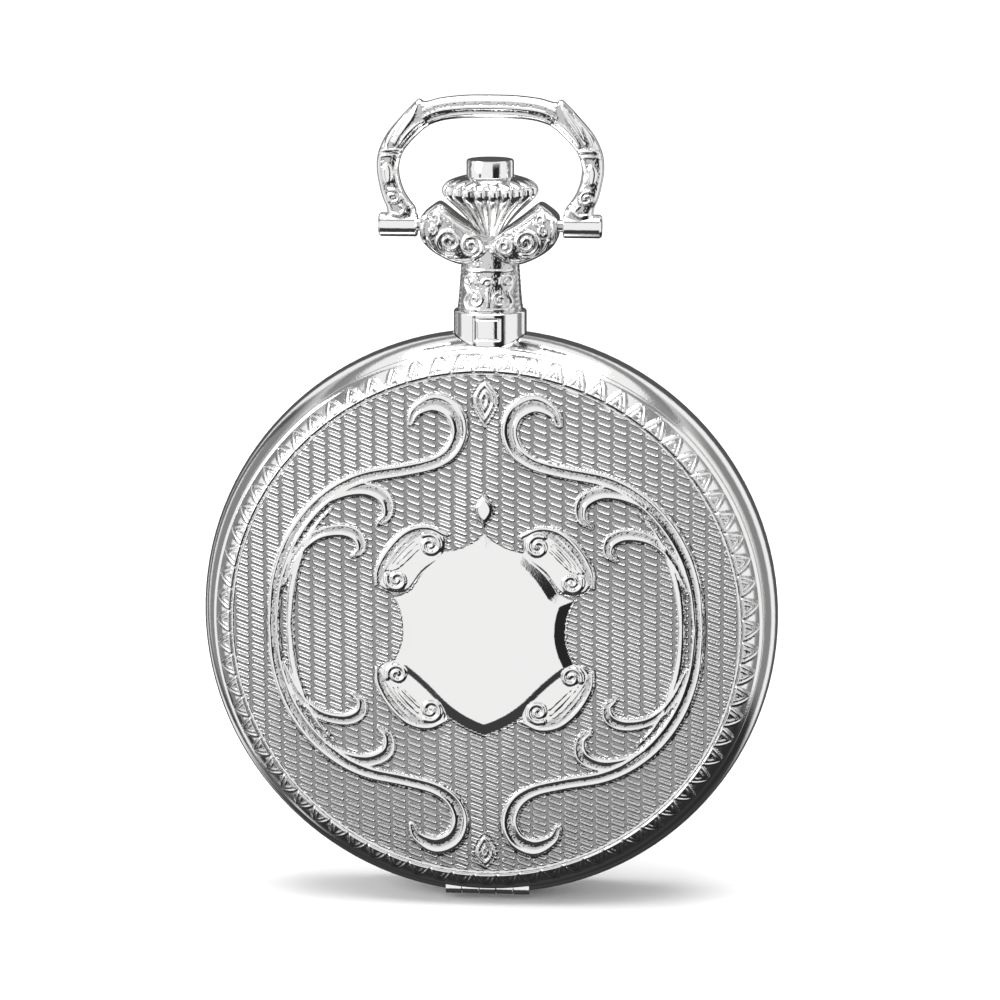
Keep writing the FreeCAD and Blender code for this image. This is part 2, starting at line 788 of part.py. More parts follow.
def make_dust_cover():
    """Inner back cover, pressed into the back seat, with its flat window glass."""
    slip = size("SlipFit")
    seat_level = BAND_BACK + size("SeatDepth")
    outer = SEAT_RADIUS - slip
    back = BAND_BACK - 0.7
    window = size("WindowRadius")
    glass_radius = window + 0.3
    glass = size("WindowGlassThickness")
    cover = Piece("dust_cover")
    cover.turn([
        (window, back),
        (outer - 0.7, back),
        (outer, back + 0.5),
        (outer, seat_level),
        (BORE_RADIUS + slip, seat_level),
        (BORE_RADIUS + slip, back + 0.8),
        (glass_radius + 0.5, back + 0.8),
        (glass_radius + slip, back + 0.8),
        (glass_radius + slip, back + 0.2),
        (window, back + 0.2),
    ])
    pane = Piece("dust_cover_glass")
    pane.pad([Ring(0, 0, glass_radius)], back + 0.2, back + 0.2 + glass)


# ---------------------------------------------------------------------------
# Pendant, bow, crown and button
# ---------------------------------------------------------------------------

CROWN_MIDDLE = CROWN_BOTTOM + 0.67 * (CROWN_TOP - CROWN_BOTTOM)
RECESS_FLOOR = CROWN_BOTTOM + 2.9
BUTTON_FOOT = CROWN_TOP - size("ButtonTravel") - 0.1
COLLAR_FOOT = LATCH_TOP + 0.15
COLLAR_HEIGHT = 0.8


def make_pendant():
    """Collar, tapered neck and the two-horned head that cradles the crown."""
    piece = Piece("pendant")
    sleeve = size("NeckTopRadius") - 1.05
    seat = PENDANT_SEAT
    neck_top = NECK_TOP
    chamber = COLLAR_FOOT + COLLAR_HEIGHT + size("PullTravel") + 0.25
    piece.turn_on_stem([
        (PUSH_ROOM, seat),
        (size("CollarRadius"), seat),
        (size("CollarRadius"), COLLAR_TOP),
        (size("NeckBaseRadius"), COLLAR_TOP),
        (size("NeckTopRadius"), neck_top),
        (size("NeckTopRadius"), neck_top + 1.0),
        (sleeve, neck_top + 1.0),
        (sleeve, chamber),
        (PUSH_ROOM, chamber),
    ])
    half = size("HeadHalfWidth")
    top = HEAD_TOP
    pivot = BOW_PIVOT
    neck = size("NeckTopRadius")
    crown_bottom = CROWN_BOTTOM
    right = [
        (neck - 0.3, neck_top, -(half * 1.2)),
        (half, pivot - 0.7),
        (half, pivot + 0.7),
        (half - 0.6, top - 0.3),
        (half - 1.4, top),
        (1.1, crown_bottom + 0.3),
    ]
    left = [
        (-1.1, crown_bottom + 0.3),
        (-(half - 1.4), top),
        (-(half - 0.6), top - 0.3),
        (-half, pivot + 0.7),
        (-half, pivot - 0.7, -(half * 1.2)),
        (-(neck - 0.3), neck_top),
    ]
    depth = size("HeadHalfDepth")
    piece.pad([right + left], STEM - depth, STEM + depth)
    clear = size("CrownClearance")
    piece.turn_on_stem([
        (0, neck_top - 1),
        (sleeve, neck_top - 1),
        (sleeve, crown_bottom - clear),
        (1.3 + clear, crown_bottom - clear),
        (size("CrownRadius") + clear, CROWN_MIDDLE - clear),
        (size("CrownRadius") + clear, top + 1),
        (0, top + 1),
    ], cut=True)
    screw = size("BowScrewRadius")
    for side in (-1, 1):
        spans = [(side * (half - 1.2), side * (half + 1))]
        piece.turn_across(barrel_loops(spans, screw), pivot, STEM, cut=True)


def make_sleeve():
    """Spring sleeve screwed into the neck, which guides the stem tube."""
    piece = Piece("pendant_sleeve")
    inner = size("TubeRadius") + size("SlipFit")
    outer = size("NeckTopRadius") - 1.05 - 0.02
    low = COLLAR_TOP - 0.5
    high = NECK_TOP + 0.6
    piece.turn_on_stem([(inner, low), (outer, low), (outer, high), (inner, high)])


def make_bow():
    """Bow: a ridged top bar, two curved arms and a barrel at the foot of each."""
    piece = Piece("bow")
    half = size("BowHalfWidth")
    top = BOW_TOP
    bar = size("BowBarTop")
    pivot = BOW_PIVOT
    foot = size("HeadHalfWidth") + size("BowFootGap")
    depth = size("BowThickness") / 2
    waist = pivot + 4.7
    shoulder = half - 3.4
    right = [
        (-shoulder, top - 0.55, half * 3.6),
        (shoulder, top - 0.55, half * 0.9),
        (half, waist, half * 1.3),
        (half - 0.9, pivot + 0.6),
        (foot + 0.1, pivot + 0.6),
        (foot + 1.55, waist - 0.8, -(half * 0.75)),
        (shoulder - 0.5, top - bar - 0.75, -(half * 3.2)),
    ]
    left = [
        (-(shoulder - 0.5), top - bar - 0.75, -(half * 0.75)),
        (-(foot + 1.55), waist - 0.8),
        (-(foot + 0.1), pivot + 0.6),
        (-(half - 0.9), pivot + 0.6, half * 1.3),
        (-half, waist, half * 0.9),
    ]
    piece.pad([right + left], STEM - depth, STEM + depth)
    hole = size("BowScrewRadius") + size("PinClearance")
    radius = size("BowThickness") / 2
    spans = [(foot, half - 0.15), (-(half - 0.15), -foot)]
    piece.turn_across(barrel_loops(spans, radius), pivot, STEM)
    reach = [(foot, half - 0.6), (-(half - 0.6), -foot)]
    piece.turn_across(barrel_loops(reach, hole, 0.2), pivot, STEM, cut=True)


def make_bow_screws():
    """Shouldered screws from the head's sides into the bow's barrels."""
    half = size("HeadHalfWidth")
    screw = size("BowScrewRadius")
    ends = (("left_bow_screw", -1), ("right_bow_screw", 1))
    for label, side in ends:
        piece = Piece(label)
        inner = half - 1.1
        outer = size("BowHalfWidth") - 0.9
        low, high = (inner, outer) if side > 0 else (-outer, -inner)
        piece.turn_across(barrel_loops([(low, high)], screw), BOW_PIVOT, STEM)


def make_crown():
    """Fluted onion crown with the recess that holds the button and its spring."""
    piece = Piece("crown")
    radius = size("CrownRadius")
    bottom = CROWN_BOTTOM
    top = CROWN_TOP
    bore = size("TubeRadius")
    recess = size("ButtonRadius") + size("SlipFit")
    piece.turn_on_stem([
        (bore, bottom),
        (1.3, bottom),
        (radius, CROWN_MIDDLE, radius * 0.9),
        (radius - 1.0, top - 0.15),
        (radius - 1.6, top),
        (recess, top),
        (recess, RECESS_FLOOR),
        (bore, RECESS_FLOOR),
    ])
    flute = 0.34
    sketch = piece.sketch([Ring(radius + 0.16, 0, flute)], plane="XY_Plane",
                          offset=(0, -STEM, top - 0.4))
    groove = piece.body.newObject("PartDesign::Pocket", "crown_flute")
    groove.Profile = sketch
    bind(groove, "Length", top - bottom - 1.6)
    piece.repeat(groove, sketch, size("CrownFlutes"))


def make_stem():
    """Winding stem: hollow above the latch for the button's rod, solid below it."""
    piece = Piece("winding_stem")
    tube = size("TubeRadius")
    solid = size("StemRadius")
    step = PENDANT_SEAT + 1.0
    hollow = COLLAR_FOOT + 0.1
    pilot = PINION_HEIGHT - 3.9
    groove = PINION_HEIGHT + 1.6
    piece.turn_on_stem([
        (0, pilot),
        (0.35, pilot),
        (0.35, pilot + 0.9),
        (solid, pilot + 0.9),
        (solid, groove),
        (0.3, groove),
        (0.3, groove + 0.7),
        (solid, groove + 0.7),
        (solid, COLLAR_FOOT - 0.7),
        (tube, COLLAR_FOOT - 0.7),
        (tube, RECESS_FLOOR),
        (size("RodRadius") + 0.06, RECESS_FLOOR),
        (size("RodRadius") + 0.06, hollow - 0.6),
        (0, hollow - 0.6),
    ])
    slot = 0.24
    low = COLLAR_FOOT - size("ButtonTravel") + 0.1
    piece.pad([box_loop(-(tube + 1), low, tube + 1, step + 0.3)],
              STEM - slot, STEM + slot, cut=True)


def make_button():
    """Push button in the crown, its rod and the cross pin that carries the push collar."""
    button = Piece("crown_button")
    radius = size("ButtonRadius")
    rod = size("RodRadius")
    top = BUTTON_TOP
    rod_foot = COLLAR_FOOT + 0.1
    button.turn_on_stem([
        (0, rod_foot),
        (rod, rod_foot),
        (rod, BUTTON_FOOT),
        (radius, BUTTON_FOOT),
        (radius, top - 0.12),
        (radius - 0.12, top),
        (0, top),
    ])
    pin = Piece("cross_pin")
    pin.turn_across([[(-1.45, 0), (1.45, 0), (1.45, 0.2), (-1.45, 0.2)]],
                    COLLAR_FOOT + COLLAR_HEIGHT / 2, STEM)
    button.turn_across([[(-0.6, 0), (0.6, 0), (0.6, 0.2), (-0.6, 0.2)]],
                       COLLAR_FOOT + COLLAR_HEIGHT / 2, STEM, cut=True)
    collar = Piece("push_collar")
    inner = size("TubeRadius") + size("SlipFit")
    outer = PUSH_ROOM - 0.15
    collar.turn_on_stem([
        (inner, COLLAR_FOOT),
        (outer, COLLAR_FOOT),
        (outer, COLLAR_FOOT + COLLAR_HEIGHT),
        (inner, COLLAR_FOOT + COLLAR_HEIGHT),
    ])
    collar.turn_across([[(-1.46, 0), (1.46, 0), (1.46, 0.2), (-1.46, 0.2)]],
                       COLLAR_FOOT + COLLAR_HEIGHT / 2, STEM, cut=True)
    spring = Piece("button_spring")
    spring.turn_on_stem([
        (1.0, RECESS_FLOOR),
        (1.5, RECESS_FLOOR),
        (1.8, BUTTON_FOOT),
        (1.3, BUTTON_FOOT),
    ])


# ---------------------------------------------------------------------------
# Dial and hands
# ---------------------------------------------------------------------------


def make_dial():
    """Dial with the hole for the hands and a sunk seconds circle."""
    piece = Piece("dial")
    piece.pad([Ring(0, 0, BORE_RADIUS - 0.4), Ring(0, 0, 1.15)], DIAL_BACK, DIAL_FRONT)
    piece.pad([Ring(FOURTH_X, FOURTH_Z, size("SubdialRadius"))],
              DIAL_FRONT - size("SubdialDepth"), DIAL_FRONT + 1, cut=True)
    piece.pad([Ring(FOURTH_X, FOURTH_Z, 0.35)], DIAL_BACK - 1, DIAL_FRONT, cut=True)


def hand_outline(length, width, tail):
    """Leaf-shaped blade pointing up from the hub, with a short tail."""
    return [
        (-width * 0.3, -tail),
        (width * 0.3, -tail),
        (width * 0.3, length * 0.25, -length * 0.8),
        (width * 0.06, length),
        (-width * 0.06, length, -length * 0.8),
        (-width * 0.3, length * 0.25),
    ]


def make_hand(label, length, width, hub, bore, level, x=0.0, z=0.0):
    """One hand: a leaf-shaped blade on a round hub."""
    piece = Piece(label, x, z)
    thickness = size("HandThickness")
    piece.pad([hand_outline(length, width, hub * 0.8)], level, level + thickness)
    piece.pad([Ring(0, 0, hub)], level, level + thickness)
    piece.pad([Ring(0, 0, bore)], level - 0.5, level + 1, cut=True)
    return piece


def make_hands():
    """Hour and minute hands at the centre, seconds hand over its own circle."""
    hour = make_hand("hour_hand", size("HourHandLength"), 1.5, 1.25, 0.92, HAND_BASE)
    minute_level = HAND_BASE + 0.28
    make_hand("minute_hand", size("MinuteHandLength"), 1.2, 1.0, 0.55, minute_level)
    second_level = DIAL_FRONT - size("SubdialDepth") + 0.12
    make_hand("second_hand", size("SecondHandLength"), 0.3, 0.32, 0.14, second_level,
              FOURTH_X, FOURTH_Z)
    return hour


# ---------------------------------------------------------------------------
# Movement: plate, bridges and what holds them
# ---------------------------------------------------------------------------

MOVEMENT = size("MovementRadius")
BRIDGE_EDGE = MOVEMENT - 0.1
FOOT_RADIUS = BRIDGE_EDGE - size("BridgeFoot") / 2
JEWEL_SEAT = size("JewelRadius") + 0.01
SCREW_RADIUS = 0.3
SCREW_HOLE = SCREW_RADIUS + 0.02
COCK_BACK = BRIDGE_BACK - 0.5
COCK_FRONT = BRIDGE_BACK + 0.4

PALLET_ANGLE = heading(BALANCE_X - ESCAPE_X, BALANCE_Z - ESCAPE_Z)
ESCAPE_TO_BALANCE = root((BALANCE_X - ESCAPE_X) * (BALANCE_X - ESCAPE_X)
                         + (BALANCE_Z - ESCAPE_Z) * (BALANCE_Z - ESCAPE_Z))
PALLET_REACH = size("EscapeRadius") * 1.157
PALLET_X = ESCAPE_X + PALLET_REACH * cosine(PALLET_ANGLE)
PALLET_Z = ESCAPE_Z + PALLET_REACH * sine(PALLET_ANGLE)

BARREL_BRIDGE_SCREWS = (20.0, 62.0, 118.0, 160.0)
TRAIN_BRIDGE_SCREWS = (-12.0, -62.0, -100.0)


def on_circle(radius, angle):
    """Point at a fixed angle on a circle about the movement's centre."""
    return (radius * math.cos(math.radians(angle)), radius * math.sin(math.radians(angle)))


def sector(inner, outer, first, last):
    """Ring sector between two fixed angles, less than half a turn apart."""
    return [
        on_circle(inner, first),
        (*on_circle(outer, first), -outer),
        on_circle(outer, last),
        (*on_circle(inner, last), inner),
    ]


def screw_holes(angles):
    """Loops of the screw holes at those angles."""
    return [Ring(*on_circle(FOOT_RADIUS, angle), SCREW_HOLE) for angle in angles]


def make_main_plate():
    """Main plate with stem window, setting recess, wheel posts, jewel seats and holes."""
    piece = Piece("main_plate")
    piece.pad([Ring(0, 0, MOVEMENT)], PLATE_BACK, PLATE_FRONT)
    window = WINDING_PINION.tip_radius + 0.25
    piece.pad([box_loop(-window, PINION_HEIGHT - 0.75, window, PINION_HEIGHT + 0.75)],
              PLATE_BACK - 1, PLATE_FRONT - 0.05, cut=True)
    sliding = 1.35
    piece.pad([box_loop(-sliding, SETTING_Z + SETTING.pitch_radius + 0.1,
                        sliding, PINION_HEIGHT)],
              PLATE_BACK - 1, PLATE_BACK + 0.3, cut=True)
    recess = SETTING.tip_radius + 0.15
    piece.pad([Ring(0, SETTING_Z, recess), Ring(0, SETTING_Z, 0.5)],
              PLATE_BACK + 0.15, PLATE_FRONT + 1, cut=True)
    piece.pad([Ring(0, MINUTE_Z, 0.4)], PLATE_FRONT - 0.1, DIAL_BACK - 0.05)
    piece.pad([Ring(0, 0, 0.4), Ring(BARREL_X, BARREL_Z, 0.63)],
              PLATE_BACK - 1, PLATE_FRONT + 1, cut=True)
    seats = [(THIRD_X, THIRD_Z), (FOURTH_X, FOURTH_Z), (ESCAPE_X, ESCAPE_Z),
             (PALLET_X, PALLET_Z), (BALANCE_X, BALANCE_Z)]
    piece.pad([Ring(x, z, JEWEL_SEAT) for x, z in seats],
              PLATE_BACK - 1, PLATE_FRONT + 1, cut=True)
    screws = screw_holes(BARREL_BRIDGE_SCREWS) + screw_holes(TRAIN_BRIDGE_SCREWS)
    piece.pad(screws, PLATE_BACK - 1, PLATE_FRONT + 1, cut=True)
    piece.pad([Ring(FOOT_RADIUS - 0.2, 0, SCREW_HOLE)], PLATE_BACK - 1, PLATE_FRONT + 1,
              turn=size("BalanceAngle"), cut=True)
    pilot_room = [(0, PINION_HEIGHT - 4), (0.4, PINION_HEIGHT - 4),
                  (0.4, PINION_HEIGHT - 3.1), (0, PINION_HEIGHT - 3.1)]
    lug = box_loop(-0.75, PINION_HEIGHT - 3.8, 0.75, PINION_HEIGHT - 3.15)
    piece.pad([lug], STEM - 0.55, PLATE_BACK + 0.1)
    piece.turn_on_stem(pilot_room, cut=True)


def make_barrel_bridge():
    """Bridge over the barrel, with a foot along the edge and a boss for the crown wheel."""
    piece = Piece("barrel_bridge")
    chord = 2.2
    half = root(BRIDGE_EDGE * BRIDGE_EDGE - chord * chord)
    piece.pad([[(half, chord, -BRIDGE_EDGE), (-half, chord)]], BRIDGE_BACK, BRIDGE_FRONT)
    inner = BRIDGE_EDGE - size("BridgeFoot")
    piece.pad([sector(inner, BRIDGE_EDGE, 12, 80), sector(inner, BRIDGE_EDGE, 100, 168)],
              BRIDGE_FRONT - 0.1, PLATE_BACK)
    piece.pad([Ring(0, CROWN_WHEEL_Z, 0.85)], RATCHET_BACK, BRIDGE_BACK + 0.1)
    window = WINDING_PINION.tip_radius + 0.25
    piece.pad([box_loop(-window, CROWN_WHEEL_Z + 0.95, window, MOVEMENT + 1)],
              BRIDGE_BACK - 1, PLATE_BACK + 1, cut=True)
    piece.pad([Ring(BARREL_X, BARREL_Z, 0.83)], BRIDGE_BACK - 1, BRIDGE_FRONT + 1, cut=True)
    piece.pad(screw_holes(BARREL_BRIDGE_SCREWS), BRIDGE_BACK - 1, PLATE_BACK + 1, cut=True)
    piece.pad([Ring(0, CROWN_WHEEL_Z, SCREW_HOLE)], RATCHET_BACK - 1, BRIDGE_FRONT + 1,
              cut=True)
    piece.pad([Ring(*CLICK_CENTRE, SCREW_HOLE)], BRIDGE_BACK - 1, BRIDGE_FRONT + 1, cut=True)


def make_train_bridge():
    """Bridge over the centre, third, fourth and escape wheels."""
    piece = Piece("train_bridge")
    edge = 2.0
    left = 5.5
    side = root(BRIDGE_EDGE * BRIDGE_EDGE - edge * edge)
    foot = root(BRIDGE_EDGE * BRIDGE_EDGE - left * left)
    piece.pad([[(-left, edge), (side, edge, BRIDGE_EDGE), (-left, -foot)]],
              BRIDGE_BACK, BRIDGE_FRONT)
    inner = BRIDGE_EDGE - size("BridgeFoot")
    piece.pad([sector(inner, BRIDGE_EDGE, -105, 5)], BRIDGE_FRONT - 0.1, PLATE_BACK)
    seats = [(THIRD_X, THIRD_Z), (FOURTH_X, FOURTH_Z), (ESCAPE_X, ESCAPE_Z), (0, 0)]
    piece.pad([Ring(x, z, JEWEL_SEAT) for x, z in seats],
              BRIDGE_BACK - 1, BRIDGE_FRONT + 1, cut=True)
    piece.pad(screw_holes(TRAIN_BRIDGE_SCREWS), BRIDGE_BACK - 1, PLATE_BACK + 1, cut=True)


def make_balance_cock():
    """Cock over the balance, standing on one foot at the movement's edge."""
    piece = Piece("balance_cock")
    angle = size("BalanceAngle")
    reach = size("BalanceDistance")
    end = MOVEMENT - 0.4
    piece.pad([box_loop(reach, -1.6, end, 1.6)], COCK_BACK, COCK_FRONT, turn=angle)
    piece.pad([Ring(reach, 0, 1.9)], COCK_BACK, COCK_FRONT, turn=angle)
    piece.pad([box_loop(end - 1.0, -2.6, end, 2.6)], COCK_BACK, PLATE_BACK, turn=angle)
    piece.pad([Ring(reach, 0, JEWEL_SEAT), Ring(FOOT_RADIUS - 0.2, 0, SCREW_HOLE)],
              COCK_BACK - 1, PLATE_BACK + 1, turn=angle, cut=True)


def make_pallet_bridge():
    """Small bridge across the pallet fork, on two posts."""
    piece = Piece("pallet_bridge", PALLET_X, PALLET_Z)
    post = 2.6
    low = PLATE_BACK - 1.25
    high = low + 0.2
    piece.pad([box_loop(-0.45, -post, 0.45, post)], low, high, turn=PALLET_ANGLE)
    piece.pad([Ring(0, -post, 0.45), Ring(0, post, 0.45)], low, PLATE_BACK, turn=PALLET_ANGLE)
    piece.pad([Ring(0, 0, size("JewelHole"))], low - 1, high + 1, cut=True)


def make_movement_ring():
    """Holding ring between the movement and the case, with a lip for the plate."""
    piece = Piece("movement_ring")
    slip = size("SlipFit")
    piece.turn([
        (MOVEMENT + slip, BRIDGE_BACK - 0.9),
        (BORE_RADIUS - slip, BRIDGE_BACK - 0.9),
        (BORE_RADIUS - slip, DIAL_BACK),
        (MOVEMENT - 0.4, DIAL_BACK),
        (MOVEMENT - 0.4, PLATE_FRONT),
        (MOVEMENT + slip, PLATE_FRONT),
    ])
    passage = size("StemRadius") + 0.15
    piece.turn_on_stem([(0, MOVEMENT - 1), (passage, MOVEMENT - 1),
                        (passage, BORE_RADIUS + 1), (0, BORE_RADIUS + 1)], cut=True)


def cylinder(radius, low, high, x, z):
    """Upright cylinder along the watch's axis between two levels."""
    shape = DOC.addObject("Part::Cylinder", "cylinder")
    shape.Placement = FreeCAD.Placement(
        FreeCAD.Vector(0, 0, 0), FreeCAD.Rotation(FreeCAD.Vector(1, 0, 0), 90))
    bind(shape, "Radius", radius)
    bind(shape, "Height", as_size(high) - low)
    bind(shape, "Placement.Base.x", x)
    bind(shape, "Placement.Base.y", -as_size(low))
    bind(shape, "Placement.Base.z", z)
    return shape


def cut_from(base, tool):
    """Base with the tool cut away."""
    cut = DOC.addObject("Part::Cut", "cut")
    cut.Base = base
    cut.Tool = tool
    return cut


def screw(head_radius, head_back, seat, end, x, z):
    """Slotted cheese-head screw whose head stands on the seat level."""
    head = cylinder(head_radius, head_back, seat, x, z)
    slot = DOC.addObject("Part::Box", "slot")
    bind(slot, "Length", head_radius * 2.4)
    bind(slot, "Width", 0.1)
    bind(slot, "Height", head_radius * 0.28)
    bind(slot, "Placement.Base.x", as_size(x) - head_radius * 1.2)
    bind(slot, "Placement.Base.y", -as_size(head_back) - 0.1)
    bind(slot, "Placement.Base.z", as_size(z) - head_radius * 0.14)
    shank = cylinder(SCREW_RADIUS, seat, end, x, z)
    joined = DOC.addObject("Part::Fuse", "screw")
    joined.Base = cut_from(head, slot)
    joined.Tool = shank
    return joined


def group(label, shapes):
    """Several separate solids of one kind, kept as one sub-part."""
    compound = DOC.addObject("Part::Compound", label)
    compound.Label = label
    compound.Links = shapes
    PIECES[label] = compound


def make_screws_and_jewels():
    """Bridge screws, winding wheel screws and the ring jewels of the train."""
    screws = []
    for angle in BARREL_BRIDGE_SCREWS + TRAIN_BRIDGE_SCREWS:
        x, z = on_circle(FOOT_RADIUS, angle)
        screws.append(screw(0.5, BRIDGE_BACK - 0.25, BRIDGE_BACK, PLATE_FRONT - 0.2, x, z))
    cock_reach = FOOT_RADIUS - 0.2
    x = cock_reach * cosine(size("BalanceAngle"))
    z = cock_reach * sine(size("BalanceAngle"))
    screws.append(screw(0.5, COCK_BACK - 0.25, COCK_BACK, PLATE_FRONT - 0.2, x, z))
    group("bridge_screws", screws)
    ratchet_back = RATCHET_BACK
    winding = [
        screw(1.2, ratchet_back - 0.22, ratchet_back, BRIDGE_FRONT, 0, CROWN_WHEEL_Z),
        screw(0.5, ratchet_back - 0.2, ratchet_back, BRIDGE_FRONT, *CLICK_CENTRE),
    ]
    group("crown_wheel_screws", winding)
    jewel_low = BRIDGE_BACK + 0.2
    places = [
        (THIRD_X, THIRD_Z, jewel_low, BRIDGE_FRONT),
        (FOURTH_X, FOURTH_Z, jewel_low, BRIDGE_FRONT),
        (ESCAPE_X, ESCAPE_Z, jewel_low, BRIDGE_FRONT),
        (BALANCE_X, BALANCE_Z, COCK_BACK + 0.2, COCK_FRONT),
    ]
    plate_places = [(THIRD_X, THIRD_Z), (FOURTH_X, FOURTH_Z), (ESCAPE_X, ESCAPE_Z),
                    (PALLET_X, PALLET_Z), (BALANCE_X, BALANCE_Z)]
    places += [(x, z, PLATE_BACK, PLATE_BACK + 0.45) for x, z in plate_places]
    jewels = []
    for x, z, low, high in places:
        blank = cylinder(size("JewelRadius"), low, high, x, z)
        hole = cylinder(size("JewelHole"), low - 0.1, high + 0.1, x, z)
        jewels.append(cut_from(blank, hole))
    group("ring_jewels", jewels)


# ---------------------------------------------------------------------------
# Movement: wheels
# ---------------------------------------------------------------------------

CLICK_CENTRE = (BARREL_X - size("ClickLeft"), BARREL_Z + size("ClickRise"))
PIVOT = size("PivotRadius")
PIVOT_BACK = BRIDGE_BACK + 0.25
PIVOT_FRONT = PLATE_BACK + 0.4

BARREL_PHASE = BARREL.tooth_at(BARREL_ANGLE + 180)
CENTRE_PINION_PHASE = BARREL_ANGLE
CENTRE_PHASE = CENTRE.tooth_at(THIRD_ANGLE)
THIRD_PINION_PHASE = THIRD_ANGLE + 180
THIRD_TO_FOURTH = heading(FOURTH_X - THIRD_X, FOURTH_Z - THIRD_Z)
THIRD_PHASE = THIRD.tooth_at(THIRD_TO_FOURTH)
FOURTH_PINION_PHASE = THIRD_TO_FOURTH + 180
FOURTH_PHASE = FOURTH.tooth_at(ESCAPE_ANGLE)
ESCAPE_PINION_PHASE = ESCAPE_ANGLE + 180
CROWN_WHEEL_PHASE = Size(90)
RATCHET_PHASE = RATCHET.phase_with(
    CROWN_WHEEL, CROWN_WHEEL_PHASE, heading(BARREL_X, BARREL_Z - CROWN_WHEEL_Z))
MINUTE_PHASE = MINUTE_WHEEL.phase_with(CANNON, Size(0), Size(90))
SETTING_PHASE = SETTING.phase_with(MINUTE_WHEEL, MINUTE_PHASE, Size(90))
HOUR_PHASE = HOUR_WHEEL.phase_with(MINUTE_PINION, Size(0), Size(-90))


def make_wheel(label, gear, phase, level, bore, arms, x, z):
    """Thin toothed wheel with crossed-out arms."""
    piece = Piece(label, x, z)
    top = level + size("WheelThickness")
    piece.gear(gear, level, top, phase, bore)
    hub = bore + gear.pitch_radius * 0.16
    rim = gear.root_radius - gear.module * 2.5
    piece.windows(arms, hub, rim, level - 0.5, top + 0.5, 180 / arms * 0.72)
    return piece


def make_arbor(label, gear, phase, leaves, sections, x, z):
    """Arbor turned to the given (radius, level) steps with a pinion cut on it."""
    piece = Piece(label, x, z)
    low, high = leaves
    piece.gear(gear, low, high, phase)
    piece.turn([(0, sections[0][1]), *sections, (0, sections[-1][1])])
    return piece


def steps(*spans):
    """Corners of a stepped arbor from (radius, start, end) spans."""
    corners = []
    for radius, start, end in spans:
        corners += [(radius, start), (radius, end)]
    return corners


def make_train():
    """Centre, third, fourth and escape wheels on their arbors."""
    centre_level = BRIDGE_FRONT + 0.15
    thickness = size("WheelThickness")
    make_wheel("centre_wheel", CENTRE, CENTRE_PHASE, centre_level, 0.45, 5, 0, 0)
    make_arbor("centre_arbor", CENTRE_PINION, CENTRE_PINION_PHASE,
               (BARREL_LOW - 0.05, PLATE_BACK - 0.1),
               steps((JEWEL_SEAT - 0.03, BRIDGE_BACK + 0.05, BRIDGE_FRONT + 0.05),
                     (0.7, BRIDGE_FRONT + 0.05, centre_level),
                     (0.45, centre_level, centre_level + thickness),
                     (0.9, centre_level + thickness, PLATE_BACK - 0.1),
                     (0.36, PLATE_BACK - 0.1, MOTION_BACK),
                     (0.28, MOTION_BACK, HAND_BASE + 0.35)), 0, 0)
    third_level = PLATE_BACK - 0.35
    make_wheel("third_wheel", THIRD, THIRD_PHASE, third_level, 0.3, 5, THIRD_X, THIRD_Z)
    make_arbor("third_arbor", THIRD_PINION, THIRD_PINION_PHASE,
               (BRIDGE_FRONT + 0.1, centre_level + 0.35),
               steps((PIVOT, PIVOT_BACK, BRIDGE_FRONT + 0.05),
                     (0.25, BRIDGE_FRONT + 0.05, third_level - 0.15),
                     (0.5, third_level - 0.15, third_level),
                     (0.3, third_level, third_level + thickness),
                     (0.25, third_level + thickness, PLATE_BACK - 0.05),
                     (PIVOT, PLATE_BACK - 0.05, PIVOT_FRONT)), THIRD_X, THIRD_Z)
    fourth_level = centre_level + 0.5
    make_wheel("fourth_wheel", FOURTH, FOURTH_PHASE, fourth_level, 0.3, 5, FOURTH_X, FOURTH_Z)
    second_level = DIAL_FRONT - size("SubdialDepth") + 0.12
    make_arbor("fourth_arbor", FOURTH_PINION, FOURTH_PINION_PHASE,
               (third_level - 0.1, PLATE_BACK - 0.08),
               steps((PIVOT, PIVOT_BACK, BRIDGE_FRONT + 0.05),
                     (0.25, BRIDGE_FRONT + 0.05, fourth_level - 0.15),
                     (0.5, fourth_level - 0.15, fourth_level),
                     (0.3, fourth_level, fourth_level + thickness),
                     (0.25, fourth_level + thickness, PLATE_BACK - 0.05),
                     (PIVOT, PLATE_BACK - 0.05, second_level + size("HandThickness"))),
               FOURTH_X, FOURTH_Z)
    escape_level = PLATE_BACK - 0.65
    make_escape_wheel(escape_level)
    make_arbor("escape_arbor", ESCAPE_PINION, ESCAPE_PINION_PHASE,
               (fourth_level - 0.1, fourth_level + 0.35),
               steps((PIVOT, PIVOT_BACK, BRIDGE_FRONT + 0.05),
                     (0.2, BRIDGE_FRONT + 0.05, escape_level - 0.05),
                     (0.4, escape_level - 0.05, escape_level),
                     (0.25, escape_level, escape_level + thickness),
                     (0.2, escape_level + thickness, PLATE_BACK - 0.05),
                     (PIVOT, PLATE_BACK - 0.05, PIVOT_FRONT)), ESCAPE_X, ESCAPE_Z)


def make_escape_wheel(level):
    """Escape wheel with raked club teeth and five arms."""
    piece = Piece("escape_wheel", ESCAPE_X, ESCAPE_Z)
    radius = size("EscapeRadius")
    top = level + size("WheelThickness")
    piece.pad([Ring(0, 0, radius), Ring(0, 0, 0.25)], level, top)
    root_radius = radius * 0.78
    pitch = radius * (2 * math.pi / 15)
    gap = [
        (root_radius, -pitch * 0.34),
        (radius * 1.05, -pitch * 0.24),
        (radius * 1.05, pitch * 0.58),
        (root_radius, pitch * 0.24),
    ]
    cut = piece.pad([gap], level, top, turn=ESCAPE_PHASE, cut=True)
    piece.repeat(cut, cut.Profile[0], size("EscapeTeeth"))
    piece.windows(5, radius * 0.25, radius * 0.64, level - 0.5, top + 0.5, 25)


